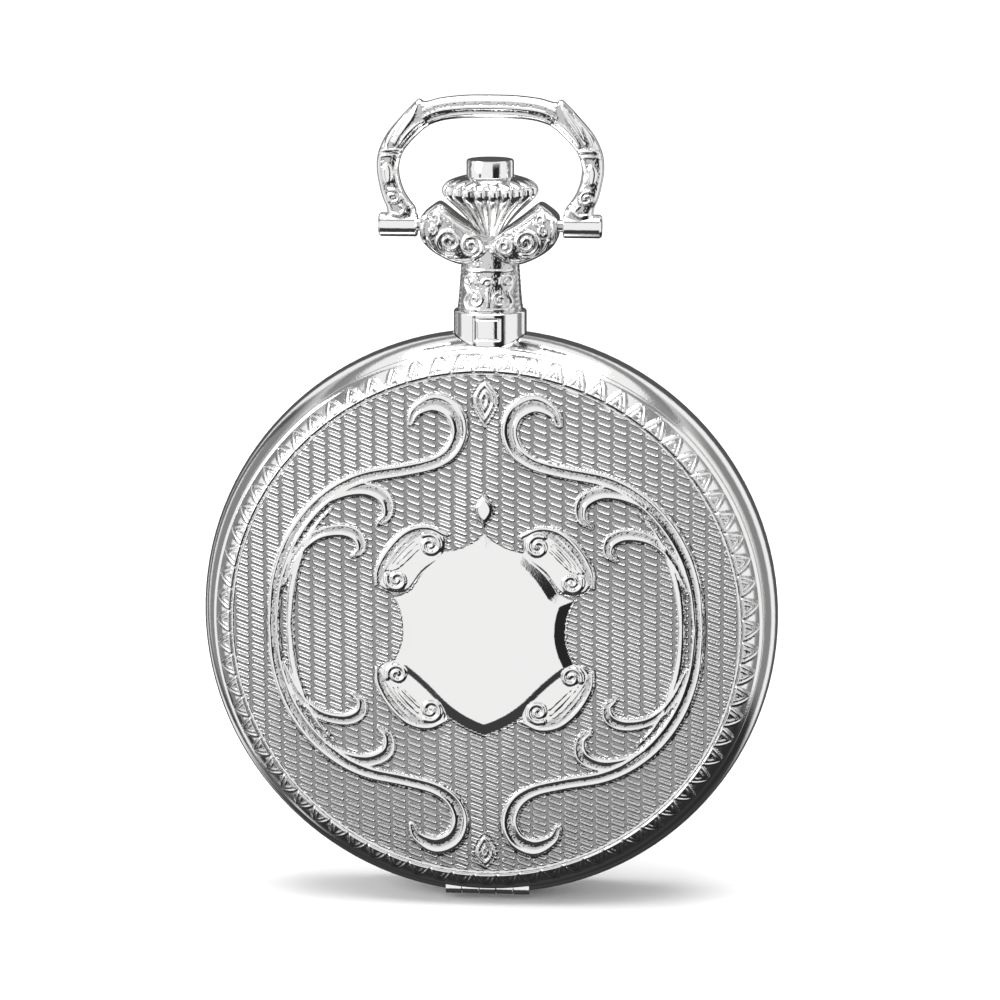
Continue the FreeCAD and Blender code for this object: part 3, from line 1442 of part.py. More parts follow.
ESCAPE_PHASE = PALLET_ANGLE
BARREL_LOW = BRIDGE_FRONT + 0.55
BARREL_HIGH = PLATE_BACK - 0.15


def make_barrel():
    """Toothed barrel, its lid, the arbor and the coiled mainspring."""
    flange = 0.3
    wall = 0.25
    drum = BARREL.root_radius - 0.25
    barrel = Piece("mainspring_barrel", BARREL_X, BARREL_Z)
    barrel.gear(BARREL, BARREL_LOW, BARREL_LOW + flange, BARREL_PHASE, 0.83)
    barrel.turn([(drum - wall, BARREL_LOW + flange - 0.1), (drum, BARREL_LOW + flange - 0.1),
                 (drum, BARREL_HIGH), (drum - wall, BARREL_HIGH)])
    lid = Piece("barrel_lid", BARREL_X, BARREL_Z)
    lid.pad([Ring(0, 0, drum - wall), Ring(0, 0, 0.63)], BARREL_HIGH - 0.15, BARREL_HIGH)
    arbor = Piece("barrel_arbor", BARREL_X, BARREL_Z)
    arbor.turn([
        (0, RATCHET_BACK - 0.05),
        (0.8, RATCHET_BACK - 0.05),
        (0.8, BARREL_LOW + flange + 0.03),
        (1.5, BARREL_LOW + flange + 0.03),
        (1.5, BARREL_HIGH - 0.2),
        (0.6, BARREL_HIGH - 0.2),
        (0.6, PLATE_FRONT - 0.3),
        (0, PLATE_FRONT - 0.3),
    ])
    spiral_spring("mainspring", 1.9, 0.12, 9, (drum - wall).value - 0.1,
                  BARREL_LOW + flange + 0.05, BARREL_HIGH - 0.2, BARREL_X, BARREL_Z)


def spiral_spring(label, inner, strip, turns, outer, low, high, x, z):
    """Flat spiral of half circles that grow evenly from the inner to the outer radius."""
    halves = turns * 2
    growth = (outer - inner - strip) / halves
    radii = [inner + strip / 2 + index * growth for index in range(halves)]
    axis = FreeCAD.Vector(0, 0, 1)

    def half_circles(offset):
        edges = []
        for index, radius in enumerate(radii):
            centre = FreeCAD.Vector(growth if index % 2 else 0, 0, 0)
            circle = Part.Circle(centre, axis, radius + offset)
            start = math.pi * (index % 2)
            edges.append(Part.ArcOfCircle(circle, start, start + math.pi).toShape())
        return edges

    outside = half_circles(strip / 2)
    inside = half_circles(-strip / 2)
    start_cap = Part.makeLine(inside[0].valueAt(inside[0].FirstParameter),
                              outside[0].valueAt(outside[0].FirstParameter))
    end_cap = Part.makeLine(outside[-1].valueAt(outside[-1].LastParameter),
                            inside[-1].valueAt(inside[-1].LastParameter))
    outline = Part.Wire(Part.sortEdges(outside + [end_cap] + inside + [start_cap])[0])
    band = Part.Face(outline).extrude(FreeCAD.Vector(0, 0, (high - low).value))
    spring = DOC.addObject("Part::Feature", label)
    spring.Label = label
    spring.Shape = band
    spring.Placement = FreeCAD.Placement(
        FreeCAD.Vector(as_size(x).value, -low.value, as_size(z).value),
        FreeCAD.Rotation(FreeCAD.Vector(1, 0, 0), 90))
    PIECES[label] = spring


def make_winding_work():
    """Ratchet, crown wheel, winding pinion, sliding clutch and the click."""
    back = RATCHET_BACK
    front = RATCHET_FRONT
    ratchet = Piece("ratchet_wheel", BARREL_X, BARREL_Z)
    ratchet.gear(RATCHET, back, front, RATCHET_PHASE, 0.8)
    crown_wheel = Piece("crown_wheel", 0, CROWN_WHEEL_Z)
    crown_wheel.gear(CROWN_WHEEL, back, front, CROWN_WHEEL_PHASE, 0.9)
    half = 0.4
    bore = size("StemRadius") + size("PinClearance")
    pinion = Piece("winding_pinion")
    low = PINION_HEIGHT - half
    high = PINION_HEIGHT + half
    pinion.pad_on_stem([Ring(0, 0, WINDING_PINION.tip_radius), Ring(0, 0, bore)], low, high)
    pinion.teeth(WINDING_PINION, low, high, WINDING_PINION.tooth_at(Size(90)),
                 prism=pinion.pad_on_stem)
    clutch = Piece("clutch_wheel")
    groove = 0.75
    clutch_low = low - 1.35
    clutch.turn_on_stem([
        (bore, clutch_low),
        (1.05, clutch_low),
        (1.05, clutch_low + 0.4),
        (groove, clutch_low + 0.4),
        (groove, clutch_low + 0.85),
        (1.05, clutch_low + 0.85),
        (1.05, low - 0.05),
        (bore, low - 0.05),
    ])
    click = Piece("click", *CLICK_CENTRE)
    to_ratchet = heading(BARREL_X - CLICK_CENTRE[0], BARREL_Z - CLICK_CENTRE[1])
    click_distance = root(size("ClickLeft") * size("ClickLeft")
                          + size("ClickRise") * size("ClickRise"))
    beak = click_distance - RATCHET.tip_radius - 0.06
    click.pad([[(0, -0.75), (beak, -0.12), (beak, 0.12), (0, 0.75, -0.85)]],
              back, front, turn=to_ratchet)
    click.pad([Ring(0, 0, SCREW_HOLE)], back - 1, front + 1, cut=True)


def make_motion_work():
    """Cannon pinion, minute wheel, hour wheel and the setting wheel under the dial."""
    low = MOTION_BACK + 0.02
    high = low + 0.22
    cannon = Piece("cannon_pinion")
    cannon.gear(CANNON, low, high, Size(0))
    cannon.turn([(0.3, low), (0.53, low), (0.53, HAND_BASE + 0.4), (0.3, HAND_BASE + 0.4)])
    cannon.pad([Ring(0, 0, 0.3)], low - 1, HAND_BASE + 2, cut=True)
    minute = Piece("minute_wheel", 0, MINUTE_Z)
    pinion_high = DIAL_BACK - 0.08
    minute.gear(MINUTE_WHEEL, low, high, MINUTE_PHASE)
    minute.gear(MINUTE_PINION, high, pinion_high, Size(0))
    minute.pad([Ring(0, 0, 0.42)], low - 1, pinion_high + 1, cut=True)
    hour = Piece("hour_wheel")
    hour_low = high + 0.06
    hour.gear(HOUR_WHEEL, hour_low, hour_low + 0.2, HOUR_PHASE, 0.56)
    hour.turn([(0.56, hour_low), (0.9, hour_low), (0.9, HAND_BASE + 0.14),
               (0.56, HAND_BASE + 0.14)])
    setting = Piece("setting_wheel", 0, SETTING_Z)
    setting.gear(SETTING, PLATE_BACK + 0.2, high, SETTING_PHASE, 0.52)


def make_escapement():
    """Pallet fork, balance wheel, staff with its roller, and the hairspring."""
    escape_level = PLATE_BACK - 0.65
    fork_low = escape_level - 0.15
    fork_high = fork_low + 0.2
    reach = ESCAPE_TO_BALANCE - PALLET_REACH
    horn = reach - 0.8
    fork = Piece("pallet_fork", PALLET_X, PALLET_Z)
    fork.pad([[(-0.3, -0.15), (horn - 0.5, -0.1), (horn - 0.35, -0.32), (horn, -0.32),
               (horn, -0.13), (horn - 0.3, -0.13), (horn - 0.3, 0.13), (horn, 0.13),
               (horn, 0.32), (horn - 0.35, 0.32), (horn - 0.5, 0.1), (-0.3, 0.15)]],
             fork_low, fork_high, turn=PALLET_ANGLE)
    fork.pad([box_loop(-0.35, -1.75, 0.2, 1.75)], fork_low, fork_high, turn=PALLET_ANGLE)
    fork.pad([box_loop(-0.62, -1.75, -0.1, -1.45), box_loop(-0.62, 1.45, -0.1, 1.75)],
             fork_low, escape_level + 0.2, turn=PALLET_ANGLE)
    fork.turn([(0, PLATE_BACK - 1.15), (PIVOT, PLATE_BACK - 1.15), (PIVOT, fork_low - 0.05),
               (0.2, fork_low - 0.05), (0.2, PLATE_BACK - 0.05), (PIVOT, PLATE_BACK - 0.05),
               (PIVOT, PIVOT_FRONT), (0, PIVOT_FRONT)])
    rim = size("BalanceRadius")
    inner = rim - size("BalanceRimWidth")
    low = COCK_FRONT + 0.5
    high = low + 0.35
    staff_radius = 0.3
    balance = Piece("balance_wheel", BALANCE_X, BALANCE_Z)
    balance.pad([Ring(0, 0, rim), Ring(0, 0, inner)], low, high)
    balance.pad([box_loop(-(inner + 0.1), -0.3, inner + 0.1, 0.3)], low + 0.1, high - 0.05,
                turn=PALLET_ANGLE)
    balance.pad([Ring(0, 0, 0.8)], low, high)
    balance.pad([Ring(0, 0, staff_radius)], low - 1, high + 1, cut=True)
    staff = Piece("balance_staff", BALANCE_X, BALANCE_Z)
    roller_low = high + 0.2
    roller_high = fork_low - 0.15
    staff.turn([
        (0, COCK_BACK + 0.3),
        (PIVOT, COCK_BACK + 0.3),
        (PIVOT, COCK_FRONT + 0.05),
        (staff_radius, COCK_FRONT + 0.05),
        (staff_radius, roller_low),
        (0.9, roller_low),
        (0.9, roller_high),
        (0.25, roller_high),
        (0.25, PLATE_BACK - 0.05),
        (PIVOT, PLATE_BACK - 0.05),
        (PIVOT, PIVOT_FRONT),
        (0, PIVOT_FRONT),
    ])
    staff.pad([Ring(-0.65, 0, 0.09)], roller_high - 0.1, fork_high, turn=PALLET_ANGLE)
    spiral_spring("hairspring", 0.55, 0.06, 8, 3.0, COCK_FRONT + 0.12, COCK_FRONT + 0.32,
                  BALANCE_X, BALANCE_Z)
    collet = Piece("hairspring_collet", BALANCE_X, BALANCE_Z)
    collet.pad([Ring(0, 0, 0.54), Ring(0, 0, staff_radius)], COCK_FRONT + 0.1,
               COCK_FRONT + 0.34)


# ---------------------------------------------------------------------------
# Building and writing
# ---------------------------------------------------------------------------

MAKERS = (
    make_case_middle, make_latch, make_covers, make_hinge_pins, make_bezel_and_crystal,
    make_dust_cover, make_pendant, make_sleeve, make_bow, make_bow_screws, make_crown,
    make_stem, make_button, make_dial, make_hands, make_main_plate, make_barrel_bridge,
    make_train_bridge, make_balance_cock, make_pallet_bridge, make_movement_ring,
    make_screws_and_jewels, make_train, make_barrel, make_winding_work, make_motion_work,
    make_escapement,
)


def check_document():
    """Stop if any object failed or any sub-part has no valid solid."""
    failed = [thing.Label for thing in DOC.Objects if {"Invalid", "Error"} & set(thing.State)]
    for label, piece in PIECES.items():
        if piece.Shape.isNull() or not piece.Shape.isValid() or not piece.Shape.Solids:
            failed.append(label)
    if failed:
        raise RuntimeError(f"these failed: {', '.join(failed)}")


def main():
    """Build every piece, check the document and write one STEP file for each piece."""
    fill_sheet()
    for make in MAKERS:
        make()
    DOC.recompute()
    check_document()
    os.makedirs("parts", exist_ok=True)
    for label, piece in PIECES.items():
        piece.Shape.exportStep(os.path.join("parts", f"{label}.step"))
    print(f"{len(PIECES)} pieces written")


main()
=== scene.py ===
"""Hunter pocket watch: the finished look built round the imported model.

The watch stands upright on its case: +X points to 3 o'clock, +Z to 12 o'clock and the
front cover faces -Y.  Sizes are written in millimetres and turned into metres at the mesh.
A "level" is a distance from the back cover's flat towards the front.
"""

import json
import logging
import math
from dataclasses import dataclass, field
from enum import Enum
from typing import Any, Callable, Sequence

import bpy
import numpy as np
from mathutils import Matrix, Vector


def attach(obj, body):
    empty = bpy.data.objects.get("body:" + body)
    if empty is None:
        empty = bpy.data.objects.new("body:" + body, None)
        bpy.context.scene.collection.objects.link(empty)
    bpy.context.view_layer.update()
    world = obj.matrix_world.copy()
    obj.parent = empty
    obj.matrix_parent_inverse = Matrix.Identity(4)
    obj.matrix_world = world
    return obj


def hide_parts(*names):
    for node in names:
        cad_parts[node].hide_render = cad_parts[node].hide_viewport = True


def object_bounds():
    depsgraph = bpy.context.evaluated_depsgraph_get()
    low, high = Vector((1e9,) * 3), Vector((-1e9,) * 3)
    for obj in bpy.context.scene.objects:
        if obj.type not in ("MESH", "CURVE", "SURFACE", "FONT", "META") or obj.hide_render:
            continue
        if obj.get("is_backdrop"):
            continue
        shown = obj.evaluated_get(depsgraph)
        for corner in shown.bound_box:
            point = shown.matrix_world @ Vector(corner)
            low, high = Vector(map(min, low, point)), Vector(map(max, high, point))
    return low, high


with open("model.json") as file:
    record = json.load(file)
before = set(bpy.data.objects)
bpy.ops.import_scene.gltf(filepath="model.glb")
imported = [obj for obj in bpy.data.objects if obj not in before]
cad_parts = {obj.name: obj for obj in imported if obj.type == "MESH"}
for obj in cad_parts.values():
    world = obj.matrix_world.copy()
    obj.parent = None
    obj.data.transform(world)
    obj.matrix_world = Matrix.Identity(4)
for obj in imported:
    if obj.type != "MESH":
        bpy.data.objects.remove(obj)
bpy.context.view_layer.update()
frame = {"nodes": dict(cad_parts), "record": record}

MM = 0.001
MIDDLE = 6.2
THICKNESS = 12.4
REPORT = logging.getLogger("hunter_watch")

Point = tuple[float, float]


# ---------------------------------------------------------------------------
# Shader building
# ---------------------------------------------------------------------------


class Wire:
    """One value in a shader, on which ordinary arithmetic adds Math nodes."""

    def __init__(self, bench: "Bench", socket: Any) -> None:
        """Keep the socket and the bench it belongs to.

        Args:
            bench: the shader being built.
            socket: the output socket that carries the value.
        """
        self.bench = bench
        self.socket = socket

    def _with(self, operation: str, *values: Any) -> "Wire":
        """Add a Math node over the given values and return its result."""
        return self.bench.add("ShaderNodeMath", {"operation": operation},
                              dict(enumerate(values))).out()

    def __add__(self, other: Any) -> "Wire":
        """Sum."""
        return self._with("ADD", self, other)

    __radd__ = __add__

    def __sub__(self, other: Any) -> "Wire":
        """Difference."""
        return self._with("SUBTRACT", self, other)

    def __rsub__(self, other: Any) -> "Wire":
        """Difference with the number first."""
        return self._with("SUBTRACT", other, self)

    def __mul__(self, other: Any) -> "Wire":
        """Product."""
        return self._with("MULTIPLY", self, other)

    __rmul__ = __mul__

    def __truediv__(self, other: Any) -> "Wire":
        """Quotient."""
        return self._with("DIVIDE", self, other)

    def __neg__(self) -> "Wire":
        """The value with its sign turned."""
        return self._with("MULTIPLY", self, -1.0)

    def __abs__(self) -> "Wire":
        """The value without its sign."""
        return self._with("ABSOLUTE", self)

    def floor(self) -> "Wire":
        """The whole number below the value."""
        return self._with("FLOOR", self)

    def fraction(self) -> "Wire":
        """What is left above the whole number."""
        return self._with("FRACT", self)

    def sine(self) -> "Wire":
        """Sine of the value in radians."""
        return self._with("SINE", self)

    def root(self) -> "Wire":
        """Square root."""
        return self._with("SQRT", self)

    def above(self, low: float) -> "Wire":
        """The larger of the value and a number."""
        return self._with("MAXIMUM", self, low)

    def ramp(self, start: float, end: float) -> "Wire":
        """Smooth step: 0 at start, 1 at end.

        Args:
            start: value that gives 0.
            end: value that gives 1.

        Returns:
            The stepped value.
        """
        node = self.bench.add(
            "ShaderNodeMapRange", {"interpolation_type": "SMOOTHSTEP"},
            {"Value": self, "From Min": start, "From Max": end, "To Min": 0.0, "To Max": 1.0})
        return node.out()


class Fitting:
    """A node on the bench, with its outputs by name."""

    def __init__(self, bench: "Bench", node: Any) -> None:
        """Keep the node and the bench it stands on."""
        self.bench = bench
        self.node = node

    def out(self, name: Any = 0) -> Wire:
        """The node's output of that name or number."""
        return Wire(self.bench, self.node.outputs[name])


class Bench:
    """The node tree of one material or world."""

    def __init__(self, tree: Any) -> None:
        """Start with an empty tree."""
        self.tree = tree
        tree.nodes.clear()

    def add(self, kind: str, settings: dict[str, Any] | None = None,
            inputs: dict[Any, Any] | None = None) -> Fitting:
        """Add any node.

        Args:
            kind: the node's type name.
            settings: its settings, set first; "stops" gives a ramp's stops.
            inputs: values or wires for its sockets, by name or number.

        Returns:
            The new node.
        """
        node = self.tree.nodes.new(kind)
        for key, value in (settings or {}).items():
            if key == "stops":
                self._set_stops(node.color_ramp, value)
            else:
                setattr(node, key, value)
        for key, value in (inputs or {}).items():
            socket = node.inputs[key]
            if isinstance(value, Wire):
                self.tree.links.new(value.socket, socket)
            else:
                socket.default_value = value
        return Fitting(self, node)

    @staticmethod
    def _set_stops(ramp: Any, stops: Sequence[tuple[float, Sequence[float]]]) -> None:
        """Give a colour ramp its stops."""
        while len(ramp.elements) > 1:
            ramp.elements.remove(ramp.elements[-1])
        ramp.elements[0].position, ramp.elements[0].color = stops[0][0], tint(stops[0][1])
        for place, colour in stops[1:]:
            ramp.elements.new(place).color = tint(colour)

    def place(self) -> Wire:
        """Position in the watch's own frame."""
        return self.add("ShaderNodeTexCoord").out("Object")

    def millimetres(self) -> tuple[Wire, Wire, Wire]:
        """Position as three numbers in millimetres."""
        scaled = self.add("ShaderNodeVectorMath", {"operation": "SCALE"},
                          {0: self.place(), "Scale": 1 / MM}).out()
        split = self.add("ShaderNodeSeparateXYZ", None, {0: scaled})
        return split.out("X"), split.out("Y"), split.out("Z")

    def noise(self, scale: float, detail: float = 4.0,
              stretch: Sequence[float] = (1.0, 1.0, 1.0)) -> Wire:
        """Cloudy noise.

        Args:
            scale: how fine it is, per metre.
            detail: how many octaves.
            stretch: how much finer it is along each axis.

        Returns:
            The noise from 0 to 1.
        """
        where = self.add("ShaderNodeMapping", None,
                         {"Vector": self.place(), "Scale": tuple(stretch)}).out()
        return self.add("ShaderNodeTexNoise", None,
                        {"Vector": where, "Scale": scale, "Detail": detail}).out()

    def mask(self, name: str) -> Wire:
        """A value stored on the mesh."""
        return self.add("ShaderNodeAttribute", {"attribute_name": name}).out("Fac")

    def blend(self, share: Any, first: Sequence[float] | Wire,
              second: Sequence[float] | Wire) -> Wire:
        """Mix two colours.

        Args:
            share: how much of the second.
            first: colour or wire.
            second: colour or wire.

        Returns:
            The mixed colour.
        """
        colours = [c if isinstance(c, Wire) else tint(c) for c in (first, second)]
        node = self.add("ShaderNodeMix", {"data_type": "RGBA"},
                        {0: share, 6: colours[0], 7: colours[1]})
        return node.out(2)

    def bump(self, height: Wire, depth: float, strength: float = 1.0) -> Wire:
        """Turn a height into a bent normal.

        Args:
            height: the height from 0 to 1.
            depth: what 1 stands for, in millimetres.
            strength: how much of it shows.

        Returns:
            The normal.
        """
        return self.add("ShaderNodeBump", None,
                        {"Strength": strength, "Distance": depth * MM, "Height": height}).out()


def tint(colour: Sequence[float]) -> tuple[float, float, float, float]:
    """A colour with its alpha."""
    return (colour[0], colour[1], colour[2], 1.0)


class Ground(Enum):
    """What is worked into a silver surface."""

    PLAIN = "plain polish"
    BARLEY = "rows of slanting beads"


@dataclass(frozen=True)
class Metal:
    """A metal surface.

    Attributes:
        name: the material's name.
        colour: its own colour.
        worn: the colour of its darker, duller patches.
        roughness: how dull the polish is.
        brushing: how much finer the grain is along each axis.
        grain: depth of the grain in millimetres.
        lines: pitch of a turned or striped finish in millimetres, or 0.
    """

    name: str
    colour: tuple[float, float, float]
    worn: tuple[float, float, float]
    roughness: float = 0.12
    brushing: tuple[float, float, float] = (1.0, 1.0, 1.0)
    grain: float = 0.004
    lines: float = 0.0

    def build(self) -> Any:
        """Make the material."""
        material = bpy.data.materials.new(self.name)
        material.use_nodes = True
        bench = Bench(material.node_tree)
        cloud = bench.noise(260.0, 5.0)
        fine = bench.noise(5200.0, 3.0, self.brushing)
        colour = bench.blend(cloud.ramp(0.35, 0.75), self.colour, self.worn)
        rough = fine * 0.06 + cloud * 0.04 + (self.roughness - 0.05)
        height = fine * 0.6 + cloud * 0.2
        if self.lines:
            x, _, z = bench.millimetres()
            stripe = ((x * 0.94 + z * 0.34) * (2 * math.pi / self.lines)).sine()
            height = height + stripe * 0.8
            rough = rough + abs(stripe) * 0.05
        shader = bench.add("ShaderNodeBsdfPrincipled", None, {
            "Base Color": colour, "Metallic": 1.0, "Roughness": rough,
            "Normal": bench.bump(height, self.grain)})
        bench.add("ShaderNodeOutputMaterial", None, {"Surface": shader.out()})
        return material


@dataclass(frozen=True)
class Silver:
    """Bright case silver, with painted shade and painted dark reflection in its hollows, partly
    tarnish, and an optional bead ground.

    Attributes:
        name: the material's name.
        ground: what is worked into it.
        colour: the polished silver.
        dark: the colour painted into hollows and bead gaps: partly tarnish, partly painted shade
            and painted dark reflection.
        pitch: between two columns of beads, in millimetres.
        row: between two beads of a column.
        slant: how much a bead falls for each millimetre across.
        bead: radius of a bead's rounded ends.
        half_bead: half length of its straight part.
        punches: how fine the punched hollows are, per metre.
    """

    name: str
    ground: Ground = Ground.PLAIN
    colour: tuple[float, float, float] = (0.93, 0.93, 0.925)
    dark: tuple[float, float, float] = (0.10, 0.10, 0.105)
    pitch: float = 1.3
    row: float = 0.60
    slant: float = 0.36
    bead: float = 0.215
    half_bead: float = 0.36
    punches: float = 4200.0

    def _beads(self, bench: Bench) -> tuple[Wire, Wire]:
        """Slanting beads in upright columns, each with a raised rim.

        Returns:
            The height of the beads, and their matt cores.
        """
        x, _, z = bench.millimetres()
        across = ((x / self.pitch).fraction() - 0.5) * self.pitch
        down = ((z + across * self.slant) / self.row).fraction() - 0.5
        along = (abs(across) - self.half_bead).above(0.0)
        beside = down * (self.row / math.sqrt(1 + self.slant ** 2))
        edge = (along * along + beside * beside).root()
        rim = edge.ramp(self.bead, self.bead - 0.07)
        core = edge.ramp(self.bead - 0.09, self.bead - 0.15)
        return rim, core

    def build(self) -> Any:
        """Make the material."""
        material = bpy.data.materials.new(self.name)
        material.use_nodes = True
        bench = Bench(material.node_tree)
        cloud = bench.noise(180.0, 4.0)
        fine = bench.noise(6500.0, 2.0)
        hollow = bench.mask("hollow")
        # Hollows are pulled towards the dark colour: partly tarnish, partly painted shade and
        # painted dark reflection.
        colour = bench.blend(hollow * 0.9, self.colour, self.dark)
        punched = bench.add("ShaderNodeTexVoronoi", None, {
            "Vector": bench.place(), "Scale": self.punches}).out("Distance")
        height = fine * 0.05 + punched.ramp(0.1, 0.6) * hollow * 0.45
        rough = cloud * 0.04 + hollow * 0.12 + 0.05
        if self.ground is Ground.BARLEY:
            rim, core = self._beads(bench)
            worked = bench.mask("worked")
            # Painted shade and painted dark reflection in the gaps round each bead, with some
            # tarnish: the ground outside the bead rims is pulled towards the dark colour.
            colour = bench.blend((1 - rim) * worked * 0.72, colour, self.dark)
            colour = bench.blend(core * worked * 0.5, colour, (0.55, 0.55, 0.55))
            height = height + (rim - core * (0.45 - fine * 0.2)) * worked
            rough = rough + core * worked * 0.16
        shader = bench.add("ShaderNodeBsdfPrincipled", None, {
            "Base Color": colour, "Metallic": 1.0, "Roughness": rough,
            "Normal": bench.bump(height, 0.1)})
        bench.add("ShaderNodeOutputMaterial", None, {"Surface": shader.out()})
        return material


@dataclass(frozen=True)
class Glaze:
    """Enamel, ink or a hard smooth coat.

    Attributes:
        name: the material's name.
        colour: its own colour.
        shade: the colour it drifts towards.
        roughness: how dull it is.
    """

    name: str
    colour: tuple[float, float, float]
    shade: tuple[float, float, float]
    roughness: float = 0.22

    def build(self) -> Any:
        """Make the material."""
        material = bpy.data.materials.new(self.name)
        material.use_nodes = True
        bench = Bench(material.node_tree)
        cloud = bench.noise(140.0, 6.0)
        speck = bench.noise(3000.0, 2.0)
        shader = bench.add("ShaderNodeBsdfPrincipled", None, {
            "Base Color": bench.blend(cloud.ramp(0.3, 0.8), self.colour, self.shade),
            "Roughness": speck * 0.08 + (self.roughness - 0.04),
            "Normal": bench.bump(cloud + speck * 0.1, 0.004)})
        bench.add("ShaderNodeOutputMaterial", None, {"Surface": shader.out()})
        return material


@dataclass(frozen=True)
class Clear:
    """Glass or a jewel that light passes through.

    Attributes:
        name: the material's name.
        colour: what the light is tinted.
        bend: index of refraction.
    """

    name: str
    colour: tuple[float, float, float]
    bend: float = 1.5

    def build(self) -> Any:
        """Make the material."""
        material = bpy.data.materials.new(self.name)
        material.use_nodes = True
        bench = Bench(material.node_tree)
        cloud = bench.noise(90.0, 3.0)
        shader = bench.add("ShaderNodeBsdfPrincipled", None, {
            "Base Color": bench.blend(cloud * 0.3, self.colour, (0.9, 0.93, 0.93)),
            "Transmission Weight": 1.0, "IOR": self.bend,
            "Roughness": cloud * 0.02,
            "Normal": bench.bump(cloud, 0.001)})
        bench.add("ShaderNodeOutputMaterial", None, {"Surface": shader.out()})
        return material


Finish = Metal | Silver | Glaze | Clear

CASE_SILVER = Silver("case_silver_polished")
BEADED_SILVER = Silver("case_silver_beaded", Ground.BARLEY)
BRASS = Metal("brushed_brass", (0.83, 0.62, 0.27), (0.66, 0.46, 0.18), 0.24, (1, 1, 6), 0.006)
STEEL = Metal("polished_steel", (0.62, 0.63, 0.65), (0.46, 0.47, 0.50), 0.16, (6, 1, 1), 0.004)
BLUED = Metal("blued_steel", (0.012, 0.03, 0.13), (0.02, 0.02, 0.09), 0.14, (1, 1, 4), 0.003)
PLATE = Metal("striped_plate", (0.80, 0.75, 0.62), (0.66, 0.60, 0.46), 0.2, (4, 1, 1), 0.01, 1.5)
ENAMEL = Glaze("dial_enamel", (0.92, 0.91, 0.87), (0.86, 0.85, 0.80), 0.12)
INK = Glaze("dial_ink", (0.015, 0.015, 0.018), (0.03, 0.03, 0.035), 0.35)
GLASS = Clear("crystal_glass", (0.98, 0.99, 0.99), 1.5)
RUBY = Clear("ruby", (0.85, 0.04, 0.14), 1.76)

SLOT_FINISHES: dict[str, Finish] = {
    "case_silver": CASE_SILVER, "steel": STEEL, "brass": BRASS, "plate": PLATE,
    "glass": GLASS, "dial_enamel": ENAMEL, "blued_steel": BLUED, "ruby": RUBY,
}


class Workshop:
    """Makes each material once, puts meshes into the scene and dresses them."""

    def __init__(self) -> None:
        """Start with no materials made."""
        self.made: dict[str, Any] = {}

    def finish(self, finish: Finish) -> Any:
        """The material of a finish, made the first time it is asked for."""
        if finish.name not in self.made:
            self.made[finish.name] = finish.build()
        return self.made[finish.name]

    def piece(self, name: str, shell: "Shell", finish: Finish, body: str,
              replaces: Sequence[str] = ()) -> Any:
        """Put a shell into the scene as one piece.

        Args:
            name: the piece's name.
            shell: its mesh, in millimetres.
            finish: its finish.
            body: the body it rides on.
            replaces: CAD nodes it stands for.

        Returns:
            The new object.
        """
        mesh = bpy.data.meshes.new(name)
        mesh.from_pydata((shell.points * MM).tolist(), [], shell.faces)
        for label, values in shell.masks.items():
            layer = mesh.attributes.new(label, "FLOAT", "POINT")
            layer.data.foreach_set("value", np.ascontiguousarray(values, np.float32))
        mesh.validate()
        mesh.shade_smooth()
        if shell.sharp:
            mesh.set_sharp_from_angle(angle=math.radians(shell.sharp))
        thing = bpy.data.objects.new(name, mesh)
        bpy.context.scene.collection.objects.link(thing)
        mesh.materials.append(self.finish(finish))
        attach(thing, body)
        if replaces:
            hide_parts(*replaces)
        REPORT.info("%s: %d faces on %s", name, len(shell.faces), body)
        return thing


# ---------------------------------------------------------------------------
# Shapes
# ---------------------------------------------------------------------------


@dataclass
class Shell:
    """A mesh in millimetres, with the values stored on its points.

    Attributes:
        points: one row per point.
        faces: corners of each face.
        masks: values stored on the points, by name.
        sharp: angle in degrees above which an edge stays sharp, or 0.
    """

    points: np.ndarray
    faces: list[tuple[int, ...]]
    masks: dict[str, np.ndarray] = field(default_factory=dict)
    sharp: float = 0.0

    def joined(self, *others: "Shell") -> "Shell":
        """This shell and others as one."""
        points, faces = [self.points], list(self.faces)
        masks = {k: [v] for k, v in self.masks.items()}
        count = len(self.points)
        for other in others:
            faces.extend(tuple(i + count for i in face) for face in other.faces)
            points.append(other.points)
            for label, parts in masks.items():
                parts.append(other.masks.get(label, np.zeros(len(other.points))))
            count += len(other.points)
        return Shell(np.vstack(points), faces,
                     {k: np.concatenate(v) for k, v in masks.items()}, self.sharp)

    def turned_to_back(self) -> "Shell":
        """The same shell on the other side of the case."""
        points = self.points * np.array([-1.0, -1.0, 1.0])
        points[:, 1] -= THICKNESS
        return Shell(points, list(self.faces), dict(self.masks), self.sharp)


def smooth_line(points: Sequence[Sequence[float]], steps: int = 8,
                closed: bool = False) -> np.ndarray:
    """A smooth curve through points, with any further values carried along.

    Args:
        points: rows of values, the first two being the place.
        steps: pieces between two points.
        closed: whether the curve joins its own start.

    Returns:
        The rows along the curve.
    """
    rows = np.array(points, float)
    if closed:
        padded = np.vstack([rows[-1:], rows, rows[:2]])
    else:
        padded = np.vstack([2 * rows[0] - rows[1], rows, 2 * rows[-1] - rows[-2]])
    t = np.linspace(0, 1, steps, endpoint=False)[:, None]
    out = []
    for a, b, c, d in zip(padded, padded[1:], padded[2:], padded[3:]):
        out.append(0.5 * (2 * b + (c - a) * t + (2 * a - 5 * b + 4 * c - d) * t ** 2
                          + (3 * b - a - 3 * c + d) * t ** 3))
    if not closed:
        out.append(rows[-1:])
    return np.vstack(out)


